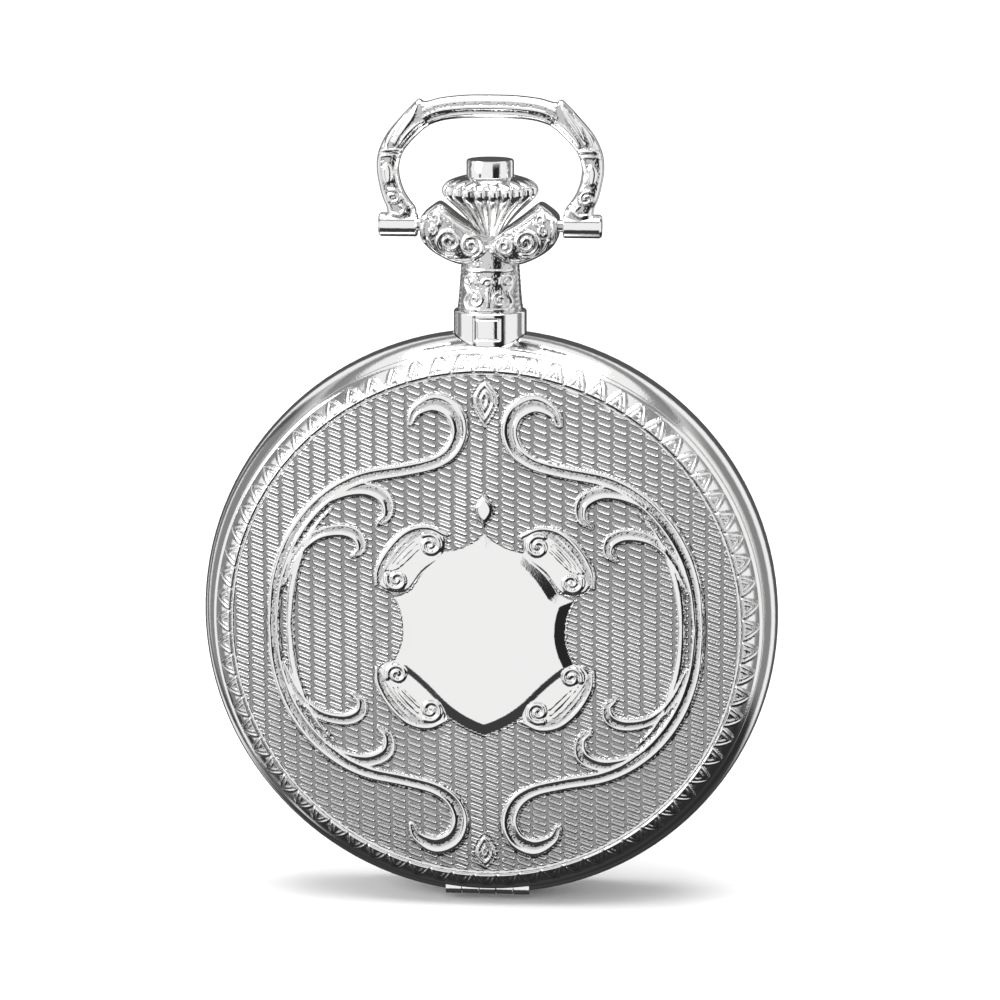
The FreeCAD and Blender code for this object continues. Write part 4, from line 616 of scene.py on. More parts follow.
def spiral(x: float, z: float, radius: float, turns: float, start: float,
           width: float) -> list[tuple[float, float, float]]:
    """Points of a spiral that winds inwards.

    Args:
        x, z: its centre.
        radius: its outer radius.
        turns: how many turns, negative to wind the other way.
        start: where it starts, in degrees.
        width: half width of its band at the start.

    Returns:
        Rows of x, z and half width.
    """
    rows = []
    count = max(6, int(abs(turns) * 10))
    for i in range(count + 1):
        part = i / count
        angle = math.radians(start) + part * turns * 2 * math.pi
        reach = radius * (1 - 0.82 * part)
        rows.append((x + reach * math.cos(angle), z + reach * math.sin(angle),
                     width * (1 - 0.35 * part)))
    return rows


class Section(Enum):
    """How a raised band is shaped across."""

    GROOVED = "two ridges with a groove"
    ROUND = "one rounded ridge"
    LEAF = "a ridge with a hollow on one side"


@dataclass(frozen=True)
class Band:
    """A raised band along a line.

    Attributes:
        rows: x, z and half width along the line.
        height: how far it stands up.
        section: its shape across.
        steps: how finely the line is divided.
    """

    rows: Sequence[Sequence[float]]
    height: float
    section: Section = Section.GROOVED
    steps: int = 6

    def raise_over(self, x: np.ndarray, z: np.ndarray) -> tuple[np.ndarray, np.ndarray]:
        """How high the band stands at each place.

        Args:
            x: places across.
            z: places up.

        Returns:
            The height, and how far inside the band each place is (1 at its middle).
        """
        line = smooth_line(self.rows, self.steps)
        nearest = np.full(x.shape, 9.0)
        side = np.zeros(x.shape)
        for start, end in zip(line, line[1:]):
            reach = 1.25 * max(start[2], end[2]) + 0.05
            near = np.nonzero((x > min(start[0], end[0]) - reach)
                              & (x < max(start[0], end[0]) + reach)
                              & (z > min(start[1], end[1]) - reach)
                              & (z < max(start[1], end[1]) + reach))[0]
            if not len(near):
                continue
            dx, dz = end[0] - start[0], end[1] - start[1]
            long = max(dx * dx + dz * dz, 1e-9)
            px, pz = x[near] - start[0], z[near] - start[1]
            t = np.clip((px * dx + pz * dz) / long, 0, 1)
            away = np.hypot(px - t * dx, pz - t * dz)
            ratio = away / (start[2] + (end[2] - start[2]) * t)
            better = ratio < nearest[near]
            chosen = near[better]
            nearest[chosen] = ratio[better]
            side[chosen] = np.sign(px * dz - pz * dx)[better]
        inside = np.clip(1 - nearest, 0, 1)
        body = np.sqrt(np.clip(1 - np.clip(nearest, 0, 1) ** 5, 0, 1))
        if self.section is Section.GROOVED:
            shape = body * (0.42 + 0.58 * np.sin(np.clip(nearest, 0, 1) * math.pi * 0.75) ** 2)
        elif self.section is Section.LEAF:
            lean = np.clip(nearest, 0, 1) * side
            shape = body * (0.45 + 0.55 * np.cos((lean - 0.45) * 2.3) ** 2)
        else:
            shape = np.sqrt(np.clip(1 - np.clip(nearest, 0, 1) ** 2, 0, 1))
        return self.height * shape, inside


@dataclass(frozen=True)
class Outline:
    """A raised closed shape with a bevelled edge.

    Attributes:
        corners: its outline.
        height: how far its top stands up.
        bevel: how wide the sloping edge is.
        rings: pitch of the rings inside it, or 0.
    """

    corners: Sequence[Point]
    height: float
    bevel: float
    rings: float = 0.0

    def raise_over(self, x: np.ndarray, z: np.ndarray) -> tuple[np.ndarray, np.ndarray]:
        """How high the shape stands at each place.

        Args:
            x: places across.
            z: places up.

        Returns:
            The height, and the distance inside the outline.
        """
        line = np.array(self.corners, float)
        low, high = line.min(0) - 0.3, line.max(0) + 0.3
        near = np.nonzero((x > low[0]) & (x < high[0]) & (z > low[1]) & (z < high[1]))[0]
        px, pz = x[near], z[near]
        nearest = np.full(px.shape, 99.0)
        within = np.zeros(px.shape, bool)
        for start, end in zip(line, np.roll(line, -1, axis=0)):
            dx, dz = end - start
            t = np.clip(((px - start[0]) * dx + (pz - start[1]) * dz)
                        / max(dx * dx + dz * dz, 1e-12), 0, 1)
            away = np.hypot(px - start[0] - t * dx, pz - start[1] - t * dz)
            nearest = np.minimum(nearest, away)
            crosses = (start[1] > pz) != (end[1] > pz)
            edge = start[0] + (pz - start[1]) * dx / (dz if abs(dz) > 1e-12 else 1e-12)
            within ^= crosses & (px < edge)
        depth = np.where(within, nearest, -nearest)
        shape = np.clip(depth / self.bevel, 0, 1)
        if self.rings:
            shape = shape * (0.55 + 0.45 * np.cos(depth * 2 * math.pi / self.rings))
        height = np.zeros(x.shape)
        inside = np.zeros(x.shape)
        height[near] = self.height * shape
        inside[near] = np.clip(depth, 0, None)
        return height, inside


def curved_sides(corners: Sequence[Point], bows: Sequence[float], steps: int = 8) -> list[Point]:
    """Join corners by sides that bow in or out.

    Args:
        corners: the corners in order.
        bows: how far the middle of each side moves to the left of travel.
        steps: pieces in each side.

    Returns:
        The outline's points.
    """
    out = []
    for (ax, az), (bx, bz), bow in zip(corners, [*corners[1:], corners[0]], bows):
        length = math.hypot(bx - ax, bz - az)
        nx, nz = -(bz - az) / length, (bx - ax) / length
        for i in range(steps):
            t = i / steps
            push = bow * 4 * t * (1 - t)
            out.append((ax + (bx - ax) * t + nx * push, az + (bz - az) * t + nz * push))
    return out


def lathe(profile: Sequence[Point], segments: int, closed: bool = True,
          flutes: Callable[[np.ndarray, np.ndarray, np.ndarray], np.ndarray] | None = None,
          along: str = "z", centre: tuple[float, float] = (0.0, -MIDDLE)) -> Shell:
    """Turn a profile about an axis.

    Args:
        profile: radius and place along the axis, in order.
        segments: divisions round.
        closed: whether the ends are closed.
        flutes: changes the radius from the radius, angle and place.
        along: "z" for the stem's axis, "x" for a hinge or barrel, "y" for the case.
        centre: the axis's other two coordinates.

    Returns:
        The turned shell.
    """
    rows = np.array(profile, float)
    angle = np.arange(segments) * 2 * math.pi / segments
    radius = np.repeat(rows[:, :1], segments, axis=1)
    place = np.repeat(rows[:, 1:2], segments, axis=1)
    round_ = np.repeat(angle[None, :], len(rows), axis=0)
    if flutes is not None:
        radius = flutes(radius, round_, place)
    first, second = radius * np.sin(round_), radius * np.cos(round_)
    if along == "z":
        grid = (first + centre[0], centre[1] - second, place)
    elif along == "x":
        grid = (place, centre[0] - first, second + centre[1])
    else:
        grid = (first + centre[0], -place, second + centre[1])
    points = np.stack([axis.ravel() for axis in grid], axis=1)
    faces: list[tuple[int, ...]] = []
    for i in range(len(rows) - 1):
        for j in range(segments):
            k = (j + 1) % segments
            faces.append((i * segments + j, i * segments + k,
                          (i + 1) * segments + k, (i + 1) * segments + j))
    if closed:
        faces.append(tuple(range(segments))[::-1])
        faces.append(tuple(range((len(rows) - 1) * segments, len(rows) * segments)))
    return Shell(points, faces)


def disc(radii: Sequence[float], counts: Sequence[int]) -> tuple[np.ndarray, list[tuple[int, ...]]]:
    """A flat disc of rings, each with as many points as the last or twice as many.

    Args:
        radii: radius of each ring, smallest first.
        counts: points in each ring.

    Returns:
        Points as x and z, and faces.
    """
    points = [np.zeros((1, 2))]
    starts = [0]
    total = 1
    for radius, count in zip(radii, counts):
        angle = np.arange(count) * 2 * math.pi / count
        points.append(np.stack([radius * np.sin(angle), radius * np.cos(angle)], axis=1))
        starts.append(total)
        total += count
    faces: list[tuple[int, ...]] = []
    first, count = starts[1], counts[0]
    faces.extend((0, first + (j + 1) % count, first + j) for j in range(count))
    for ring in range(1, len(radii)):
        inner, outer = starts[ring], starts[ring + 1]
        few, many = counts[ring - 1], counts[ring]
        for j in range(few):
            k = (j + 1) % few
            if few == many:
                faces.append((inner + k, outer + k, outer + j, inner + j))
            else:
                faces.append((outer + 2 * j + 1, outer + 2 * j, inner + j))
                faces.append((inner + k, outer + 2 * j + 1, inner + j))
                faces.append((outer + (2 * j + 2) % many, outer + 2 * j + 1, inner + k))
    return np.vstack(points), faces


def carve(bands: Sequence[Band | Outline], x: np.ndarray,
          z: np.ndarray) -> tuple[np.ndarray, np.ndarray]:
    """Lay bands and outlines over each other, the highest winning.

    Args:
        bands: what is raised.
        x: places across.
        z: places up.

    Returns:
        The height, and 1 where something stands.
    """
    height = np.zeros(x.shape)
    covered = np.zeros(x.shape)
    for band in bands:
        rise, inside = band.raise_over(x, z)
        height = np.maximum(height, rise)
        covered = np.maximum(covered, np.clip(inside * 8, 0, 1))
    return height, covered


def inflate(outer: np.ndarray, inner: np.ndarray, half_depth: float, across: int,
            square: float, relief: Callable[[np.ndarray, np.ndarray], np.ndarray]) -> Shell:
    """A rounded body between two edge lines, alike in front and behind.

    Args:
        outer: x and z along one edge.
        inner: x and z along the other edge.
        half_depth: how far it reaches each way from the middle.
        across: divisions round its section.
        square: below 1 makes the section squarer.
        relief: height of the work on its faces, from x and z.

    Returns:
        The shell with its two ends closed.
    """
    turn = np.arange(across) * 2 * math.pi / across
    share = 0.5 - 0.5 * np.cos(turn)
    swell = np.sign(np.sin(turn)) * np.abs(np.sin(turn)) ** square
    x = inner[:, :1] + (outer[:, :1] - inner[:, :1]) * share
    z = inner[:, 1:2] + (outer[:, 1:2] - inner[:, 1:2]) * share
    rise = relief(x.ravel(), z.ravel()).reshape(x.shape)
    depth = swell * half_depth + np.sign(swell) * rise * np.abs(swell)
    points = np.stack([x.ravel(), (-MIDDLE - depth).ravel(), z.ravel()], axis=1)
    faces: list[tuple[int, ...]] = []
    for i in range(len(outer) - 1):
        for j in range(across):
            k = (j + 1) % across
            faces.append(((i + 1) * across + j, (i + 1) * across + k,
                          i * across + k, i * across + j))
    faces.append(tuple(range(across)))
    faces.append(tuple(range((len(outer) - 1) * across, len(outer) * across))[::-1])
    top = max(float(rise.max()), 1e-6)
    # Hollow mask: the low ground between the chasing on the faces, darkened in the silver as
    # painted shade and painted dark reflection, partly tarnish.
    hollow = np.clip(1 - rise / top * 2.4, 0, 1) * np.clip(np.abs(swell) * 5 - 3.7, 0, 1) * 0.45
    return Shell(points, faces, {"hollow": hollow.ravel()})


# ---------------------------------------------------------------------------
# Sub-assemblies
# ---------------------------------------------------------------------------


@dataclass
class Cover:
    """A domed cover: chased scrolls on a beaded ground round a polished shield.

    Attributes:
        field_radius: radius of the chased field.
        crown: level of the middle of the field.
        edge: level of the field's edge.
        wall: thickness of the sheet.
        arches: how many pointed arches stand round the border.
    """

    field_radius: float = 21.15
    crown: float = 12.1
    edge: float = 11.12
    wall: float = 0.42
    rim_radius: float = 22.88
    rim_foot: float = 9.3
    arches: int = 72
    hinge_height: float = -22.95
    hinge_level: float = 8.7
    barrel_radius: float = 0.58
    barrel_spans: tuple[Point, ...] = ((-2.17, -0.7), (0.7, 2.17))

    def dome(self, radius: np.ndarray) -> np.ndarray:
        """Level of the plain dome at a radius."""
        return self.crown - (self.crown - self.edge) * (radius / self.field_radius) ** 2.2

    def scrolls(self) -> list[Band | Outline]:
        """The chased work of the upper right quarter; the others mirror it."""
        big = Band(((6.1, 17.0, 0.30), (5.6, 18.0, 0.52), (4.1, 18.7, 0.85), (2.6, 18.0, 0.86),
                    (2.05, 16.4, 0.78), (2.65, 14.8, 0.7), (4.1, 13.75, 0.62), (6.6, 13.1, 0.60),
                    (9.9, 12.45, 0.62), (12.4, 11.2, 0.66), (14.5, 9.3, 0.68), (16.2, 6.7, 0.66),
                    (17.25, 3.6, 0.60), (17.6, 0.0, 0.50)), 0.25)
        tail = Band(((12.5, 9.9, 0.04), (14.0, 8.2, 0.2), (15.2, 5.8, 0.34), (15.95, 3.2, 0.38),
                     (16.2, 0.4, 0.32), (16.1, -1.0, 0.2)), 0.2, Section.ROUND)
        first = Band(((8.8, 8.6, 0.18), (8.0, 9.4, 0.5), (8.2, 10.7, 0.7), (9.6, 11.4, 0.66),
                      (11.4, 11.2, 0.55), (13.2, 10.3, 0.3)), 0.24, Section.LEAF)
        second = Band(((10.9, 5.8, 0.16), (10.2, 6.5, 0.46), (10.5, 7.5, 0.62), (11.8, 7.95, 0.6),
                       (13.8, 7.5, 0.5), (15.5, 5.9, 0.4), (16.7, 3.4, 0.25)), 0.24, Section.LEAF)
        return [big, tail, first, second]

    def corner(self) -> list[Band | Outline]:
        """The volutes and ribbed shell at the upper right corner of the shield."""
        return [
            Outline([(x, z) for x, z, *_ in smooth_line(
                ((3.3, 8.1), (5.7, 8.5), (7.9, 6.6), (8.95, 4.4), (8.3, 3.0), (6.4, 2.9),
                 (5.0, 4.6), (3.3, 6.1)), 6, True)], 0.12, 0.3),
            Band(((3.1, 7.8, 0.14), (4.6, 8.45, 0.24), (6.3, 8.1, 0.28), (7.8, 6.7, 0.28),
                  (8.8, 4.9, 0.24), (8.9, 3.5, 0.14)), 0.24, Section.ROUND),
            *[Band(((5.9 - 0.22 * i, 7.75 - 0.3 * i, 0.05), (6.9 - 0.3 * i, 6.85 - 0.26 * i, 0.13),
                    (7.9 - 0.28 * i, 5.5 - 0.14 * i, 0.12), (8.25 - 0.2 * i, 4.75, 0.05)),
                   0.21, Section.ROUND) for i in range(4)],
            Band(spiral(4.45, 6.95, 0.95, 1.5, 60, 0.27), 0.28, Section.ROUND, 3),
            Band(spiral(7.2, 4.0, 0.88, -1.5, 20, 0.25), 0.28, Section.ROUND, 3),
        ]

    def shield(self) -> Outline:
        """The polished shield in the middle."""
        right = [(0.0, 8.1), (3.3, 6.5), (6.1, 3.2), (7.6, 2.6), (7.9, -3.4), (4.4, -6.4),
                 (0.0, -9.2)]
        bows = [-0.35, 0.2, -0.1, -0.95, -0.15, 0.35]
        path = curved_sides(right, [*bows, 0.0])
        path = path[:len(bows) * 8 + 1]
        return Outline([*path, *[(-x, z) for x, z in path[-2:0:-1]]], 0.27, 1.05)

    def drops(self) -> list[Outline]:
        """Teardrops above and below, and the small leaf over the shield."""
        def drop(point: float, round_end: float, half: float) -> list[Point]:
            """Outline of a drop from its point to its round end."""
            right = []
            for i in range(25):
                t = i / 24
                wide = half * math.sin(math.pi * t ** 1.25) ** 0.85 if 0 < t < 1 else 0.0
                right.append((wide, point + (round_end - point) * t))
            return [*right, *[(-x, z) for x, z in right[-2:0:-1]]]
        lens = [(0.9 * math.sin(math.pi * i / 20), 8.5 + 2.9 * i / 20) for i in range(21)]
        return [Outline(drop(16.5, 20.75, 1.15), 0.24, 0.16, 0.44),
                Outline(drop(-17.2, -20.7, 1.0), 0.24, 0.16, 0.42),
                Outline([*lens, *[(-x, z) for x, z in lens[-2:0:-1]]], 0.24, 0.42)]

    def field_shell(self) -> Shell:
        """The chased field as one dense sheet."""
        steps = ((0.11, 5.6, 300), (5.6, 11.2, 600), (11.2, self.field_radius, 1200))
        radii: list[float] = []
        counts: list[int] = []
        for start, end, count in steps:
            rings = int(round((end - start) / 0.11))
            radii.extend(start + (end - start) * (i + 1) / rings for i in range(rings))
            counts.extend([count] * rings)
        flat, faces = disc(radii, counts)
        x, z = flat[:, 0], flat[:, 1]
        mirrored, upright = np.abs(x), np.abs(z)
        height, covered = carve([*self.scrolls(), *self.corner()], mirrored, upright)
        more, there = carve([self.shield(), *self.drops()], x, z)
        height, covered = np.maximum(height, more), np.maximum(covered, there)
        radius = np.hypot(x, z)
        line = np.exp(-((radius - self.field_radius + 0.12) / 0.09) ** 2)
        height = np.maximum(height, 0.12 * line)
        covered = np.maximum(covered, np.clip(line * 3, 0, 1))
        level = self.dome(radius) + height
        # Hollow mask along the outlines of the chased work and in the grooves of its bands: painted
        # shade and painted dark reflection, partly tarnish.
        edge = np.clip(1 - np.abs(covered - 0.4) * 2.2, 0, 1) * 0.95
        groove = np.clip((0.165 - height) / 0.05, 0, 1) * (covered > 0.9) * (height > 0.06)
        beside_shield = (radius < 9.4) | (radius > self.field_radius - 0.5)
        edge = np.maximum(edge, groove * 0.5 * ~beside_shield)
        points = np.stack([x, -level, z], axis=1)
        return Shell(points, faces, {"worked": 1 - covered, "hollow": edge})

    def border_shell(self) -> Shell:
        """The border of pointed arches that slopes down towards the rim."""
        segments = self.arches * 28
        rings = [self.field_radius - 0.06 + i * 0.07 for i in range(22)]
        angle = np.arange(segments) * 2 * math.pi / segments
        pitch = 2 * math.pi / self.arches
        rows, hollows = [], []
        base, tip = self.field_radius + 0.1, 22.5
        for radius in rings:
            fall = (radius - self.field_radius) / (22.6 - self.field_radius)
            level = self.edge - 0.02 - 1.3 * max(fall, 0.0) ** 1.75
            beside = np.abs(((angle + pitch / 2) % pitch) - pitch / 2) * radius
            t = (radius - base) / (tip - base)
            wide = 0.80 * max(1 - t, 0.0) ** 0.62 if 0 <= t <= 1 else -1.0
            ridge = np.exp(-((beside - wide) / 0.085) ** 2) * (wide >= 0)
            small = 0.42 * max(1 - t / 0.62, 0.0) ** 0.62 if 0.1 <= t <= 0.62 else -1.0
            inner = np.exp(-((beside - small) / 0.07) ** 2) * (small >= 0)
            flat = np.exp(-((t - 0.06) / 0.06) ** 2) * (beside < 0.8)
            swell = np.clip((wide - beside) / 0.25, 0, 1) * 0.05
            lift = np.maximum(np.maximum(ridge * 0.16, inner * 0.12), flat * 0.14) + swell
            rows.append(np.stack([radius * np.sin(angle), -(level + lift),
                                  radius * np.cos(angle)], axis=1))
            # Hollow mask in the grooves beside the arches and inside them: painted shade and
            # painted dark reflection, partly tarnish.
            groove = np.exp(-((beside - wide - 0.17) / 0.07) ** 2) * (wide > 0.02)
            within = np.clip((wide - beside - 0.1) / 0.08, 0, 1) * (1 - inner)
            hollows.append(np.clip(groove * 0.6 + within * 0.5 * (1 - flat), 0, 1))
        faces: list[tuple[int, ...]] = []
        for i in range(len(rows) - 1):
            for j in range(segments):
                k = (j + 1) % segments
                faces.append((i * segments + k, (i + 1) * segments + k,
                              (i + 1) * segments + j, i * segments + j))
        return Shell(np.vstack(rows), faces, {"hollow": np.concatenate(hollows)})

    def inside_shell(self) -> Shell:
        """The rim's edge and the polished inside of the cover."""
        last = self.field_radius - 0.06 + 21 * 0.07
        fall = (last - self.field_radius) / (22.6 - self.field_radius)
        profile = [(last, self.edge - 0.04 - 1.3 * fall ** 1.75), (22.74, 9.72), (22.84, 9.62),
                   (self.rim_radius, 9.52), (self.rim_radius, 9.38), (22.8, self.rim_foot),
                   (22.15, self.rim_foot), (22.05, 9.36), (22.05, 9.62), (21.6, 10.1)]
        profile += [(r, float(self.dome(np.array(r))) - self.wall)
                    for r in (20.8, 19.0, 16.0, 12.0, 8.0, 4.0, 0.01)]
        return lathe(profile, 192, along="y", centre=(0.0, 0.0), closed=False)

    def hinge_shell(self) -> Shell:
        """The cover's two hinge barrels."""
        shell: Shell | None = None
        for low, high in self.barrel_spans:
            r = self.barrel_radius
            barrel = lathe([(r - 0.08, low), (r, low + 0.08), (r, high - 0.08), (r - 0.08, high)],
                           40, along="x", centre=(-self.hinge_level, self.hinge_height))
            shell = barrel if shell is None else shell.joined(barrel)
        shell.sharp = 40.0
        return shell

    def build(self, shop: Workshop) -> None:
        """Make the front cover and its twin at the back."""
        field_, border = self.field_shell(), self.border_shell()
        inside, hinge = self.inside_shell(), self.hinge_shell()
        inside.sharp = 35.0
        for side, body in (("front", "front_cover"), ("back", "back_cover")):
            shells = [field_, border, inside, hinge]
            if side == "back":
                shells = [shell.turned_to_back() for shell in shells]
            names = ("chased_field", "arch_border", "rim_and_inside", "hinge_barrels")
            for label, shell in zip(names, shells):
                finish = BEADED_SILVER if label == "chased_field" else CASE_SILVER
                replaced = (f"{side}_cover",) if label == "chased_field" else ()
                shop.piece(f"{side}_{label}", shell, finish, body, replaced)


@dataclass
class Bow:
    """The bow: ridged bar, two leafy arms and a barrel at the foot of each.

    Attributes:
        half_depth: half thickness of the plain arm.
        pivot: height of the barrels' axis.
        barrel_radius: radius of the barrels.
    """

    half_depth: float = 0.82
    pivot: float = 32.6
    barrel_radius: float = 0.98
    barrel_span: Point = (6.02, 9.18)
    outer: tuple[Point, ...] = ((0.0, 43.34), (2.0, 43.3), (4.0, 43.08), (5.3, 42.75),
                                (5.85, 42.95), (6.4, 42.5), (7.34, 41.5), (8.5, 40.1),
                                (9.2, 38.6), (9.34, 37.2), (9.12, 35.8), (8.85, 34.8),
                                (8.5, 33.9), (8.5, 33.0))
    inner: tuple[Point, ...] = ((0.0, 41.45), (1.9, 41.42), (3.6, 41.25), (4.8, 40.9),
                                (5.2, 40.65), (5.6, 40.35), (6.55, 39.4), (7.2, 38.5),
                                (7.5, 37.5), (7.45, 36.5), (7.1, 35.4), (6.6, 34.6),
                                (6.15, 33.95), (6.1, 33.0))

    def relief(self, x: np.ndarray, z: np.ndarray) -> np.ndarray:
        """The leaf, collar, panel and volute chased on an arm."""
        bands: list[Band | Outline] = [
            Band(((0, 42.95, 0.16), (2.2, 42.88, 0.16), (4.2, 42.6, 0.14), (5.4, 42.1, 0.08)),
                 0.14, Section.ROUND),
            Band(((0, 42.35, 0.18), (2.2, 42.3, 0.18), (4.2, 42.05, 0.16), (5.5, 41.5, 0.08)),
                 0.16, Section.ROUND),
            Band(((0, 41.8, 0.14), (2.1, 41.75, 0.14), (3.9, 41.5, 0.12), (5.0, 41.1, 0.08)),
                 0.12, Section.ROUND),
            Band(((5.95, 42.6, 0.1), (6.4, 41.7, 0.3), (7.2, 40.6, 0.36), (7.9, 39.4, 0.14)),
                 0.17, Section.LEAF),
            Band(((5.4, 41.2, 0.1), (6.1, 40.8, 0.2), (6.9, 40.0, 0.2), (7.4, 39.2, 0.1)),
                 0.15, Section.ROUND),
            Band(((6.9, 41.8, 0.08), (7.7, 40.8, 0.18), (8.3, 39.8, 0.18), (8.5, 39.0, 0.08)),
                 0.15, Section.ROUND),
            Band(((7.3, 38.75, 0.12), (8.2, 38.85, 0.16), (9.1, 38.75, 0.12)), 0.18,
                 Section.ROUND),
            Band(((7.4, 38.3, 0.1), (8.3, 38.4, 0.12), (9.2, 38.25, 0.1)), 0.15, Section.ROUND),
            Outline([(x_, z_) for x_, z_, *_ in smooth_line(
                ((8.4, 37.9), (8.85, 37.2), (8.75, 36.3), (8.35, 35.9), (7.95, 36.4),
                 (7.95, 37.3)), 5, True)], 0.17, 0.22),
            Band(spiral(7.95, 34.95, 0.62, 1.4, 70, 0.17), 0.18, Section.ROUND, 3),
            Band(((7.3, 34.3, 0.1), (7.0, 33.9, 0.16), (7.4, 33.5, 0.18), (8.1, 33.6, 0.12)),
                 0.16, Section.ROUND),
        ]
        height, _ = carve(bands, np.abs(x), z)
        return height

    def arm_shell(self) -> Shell:
        """Bar and arms as one rounded body."""
        outer, inner = smooth_line(self.outer, 14), smooth_line(self.inner, 14)
        mirror = np.array([-1.0, 1.0])
        outer = np.vstack([outer[::-1] * mirror, outer[1:]])
        inner = np.vstack([inner[::-1] * mirror, inner[1:]])
        return inflate(outer, inner, self.half_depth, 56, 0.62, self.relief)

    def barrel_shell(self) -> Shell:
        """The two plain barrels."""
        low, high = self.barrel_span
        r = self.barrel_radius
        profile = [(0.56, low), (r - 0.1, low), (r, low + 0.1), (r, high - 0.16),
                   (r - 0.16, high)]
        right = lathe(profile, 64, along="x", centre=(-MIDDLE, self.pivot))
        left = lathe([(a, -b) for a, b in reversed(profile)], 64, along="x",
                     centre=(-MIDDLE, self.pivot))
        shell = right.joined(left)
        shell.sharp = 35.0
        return shell

    def build(self, shop: Workshop) -> None:
        """Make the bow."""
        shop.piece("bow_arms", self.arm_shell(), CASE_SILVER, "bow", ("bow",))
        shop.piece("bow_barrels", self.barrel_shell(), CASE_SILVER, "bow")


@dataclass
class Pendant:
    """Collar, chased neck and the two-horned head that cradles the crown."""

    seat: float = 22.95
    collar_radius: float = 3.03
    collar_top: float = 25.7
    neck_top: float = 30.75
    head_depth: float = 2.3

    def neck_work(self) -> list[Band | Outline]:
        """Scrolls and dots chased on the right half of the neck."""
        work: list[Band | Outline] = [
            Band(spiral(1.55, 28.3, 0.55, -1.3, 200, 0.14), 0.12, Section.ROUND, 3),
            Band(spiral(1.0, 26.75, 0.62, 1.3, 100, 0.14), 0.12, Section.ROUND, 3),
            Band(((2.05, 28.6, 0.1), (1.9, 27.8, 0.14), (1.65, 27.3, 0.14), (1.95, 26.6, 0.14),
                  (1.75, 26.0, 0.1)), 0.12, Section.ROUND),
            Band(spiral(0.0, 28.15, 0.42, 1.0, 0, 0.13), 0.12, Section.ROUND, 3),
            Band(((0.0, 27.7, 0.08), (0.05, 27.0, 0.14), (0.0, 26.2, 0.1)), 0.12,
                 Section.ROUND),
            Band(((0.0, 29.2, 0.12), (1.2, 29.1, 0.12), (2.4, 29.2, 0.12)), 0.1,
                 Section.ROUND),
            Band(((0.0, 25.95, 0.09), (1.2, 25.95, 0.09), (2.6, 25.95, 0.09)), 0.08,
                 Section.ROUND),
        ]
        work += [Band(((2.35, 26.3 + i * 0.42, 0.11), (2.4, 26.3 + i * 0.42, 0.11)), 0.1,
                      Section.ROUND, 2) for i in range(7)]
        return work

    def neck_shell(self) -> Shell:
        """The tapered neck with its chasing, front and back."""
        rows = 72
        low, high = self.collar_top - 0.05, self.neck_top
        profile = [(2.72 - 0.44 * (i / rows) ** 0.8, low + (high - low) * i / rows)
                   for i in range(rows + 1)]

        def chase(radius: np.ndarray, angle: np.ndarray, place: np.ndarray) -> np.ndarray:
            """Raise the chasing from the plain neck."""
            flat = radius * np.sin(angle)
            height, _ = carve(self.neck_work(), np.abs(flat).ravel(), place.ravel())
            facing = np.clip(np.abs(np.cos(angle)) * 2.5, 0, 1)
            return radius + height.reshape(radius.shape) * facing

        shell = lathe(profile, 220, flutes=chase, closed=False)
        plain = lathe(profile, 220, closed=False)
        lift = np.linalg.norm(shell.points - plain.points, axis=1)
        # Hollow mask on the plain neck between the chasing: painted shade and painted dark
        # reflection, partly tarnish.
        shell.masks["hollow"] = np.clip(1 - lift / 0.1 * 1.6, 0, 1) * 0.35
        return shell

    def collar_shell(self) -> Shell:
        """The plain collar with a small flat window at the front and back."""
        r = self.collar_radius
        profile = [(r - 0.35, self.seat + 0.02), (r, self.seat + 0.05), (r, self.seat + 0.3)]
        profile += [(r - 0.02, self.seat + 0.3 + i * 0.045) for i in range(52)]
        profile += [(r - 0.08, self.collar_top - 0.05), (r - 0.3, self.collar_top),
                    (2.3, self.collar_top)]

        def flatten(radius: np.ndarray, angle: np.ndarray, place: np.ndarray) -> np.ndarray:
            """Press the flat windows into the collar."""
            across = radius * np.sin(angle)
            box = np.maximum(np.abs(across) / 0.98, np.abs(place - 24.35) / 0.85)
            groove = np.exp(-((box - 1.0) / 0.09) ** 2) * (np.abs(np.cos(angle)) > 0.8)
            return radius - groove * 0.1

        shell = lathe(profile, 300, flutes=flatten, closed=False)
        shell.sharp = 50.0
        return shell

    def head_work(self) -> list[Band | Outline]:
        """Double spirals, rim lines and end scrolls on the right half of the head."""
        return [
            Band(spiral(1.35, 31.15, 1.0, -1.9, 260, 0.2), 0.26, Section.ROUND, 3),
            Band(spiral(3.15, 31.5, 1.15, 1.9, 250, 0.2), 0.26, Section.ROUND, 3),
            Band(((0.25, 30.7, 0.14), (1.0, 30.0, 0.24), (2.3, 29.75, 0.26), (3.6, 30.05, 0.24),
                  (4.5, 30.7, 0.2), (4.95, 31.7, 0.12)), 0.24, Section.ROUND),
            Band(((0.5, 31.95, 0.1), (1.5, 32.4, 0.16), (2.6, 33.1, 0.18), (3.7, 33.9, 0.16),
                  (4.2, 34.2, 0.1)), 0.2, Section.ROUND),
            Band(spiral(4.55, 32.4, 0.42, 1.2, 90, 0.13), 0.2, Section.ROUND, 3),
            Band(spiral(4.35, 33.35, 0.5, -1.2, 270, 0.14), 0.2, Section.ROUND, 3),
            Band(((5.3, 31.4, 0.1), (5.35, 32.5, 0.12), (5.2, 33.6, 0.1)), 0.18,
                 Section.ROUND),
        ]

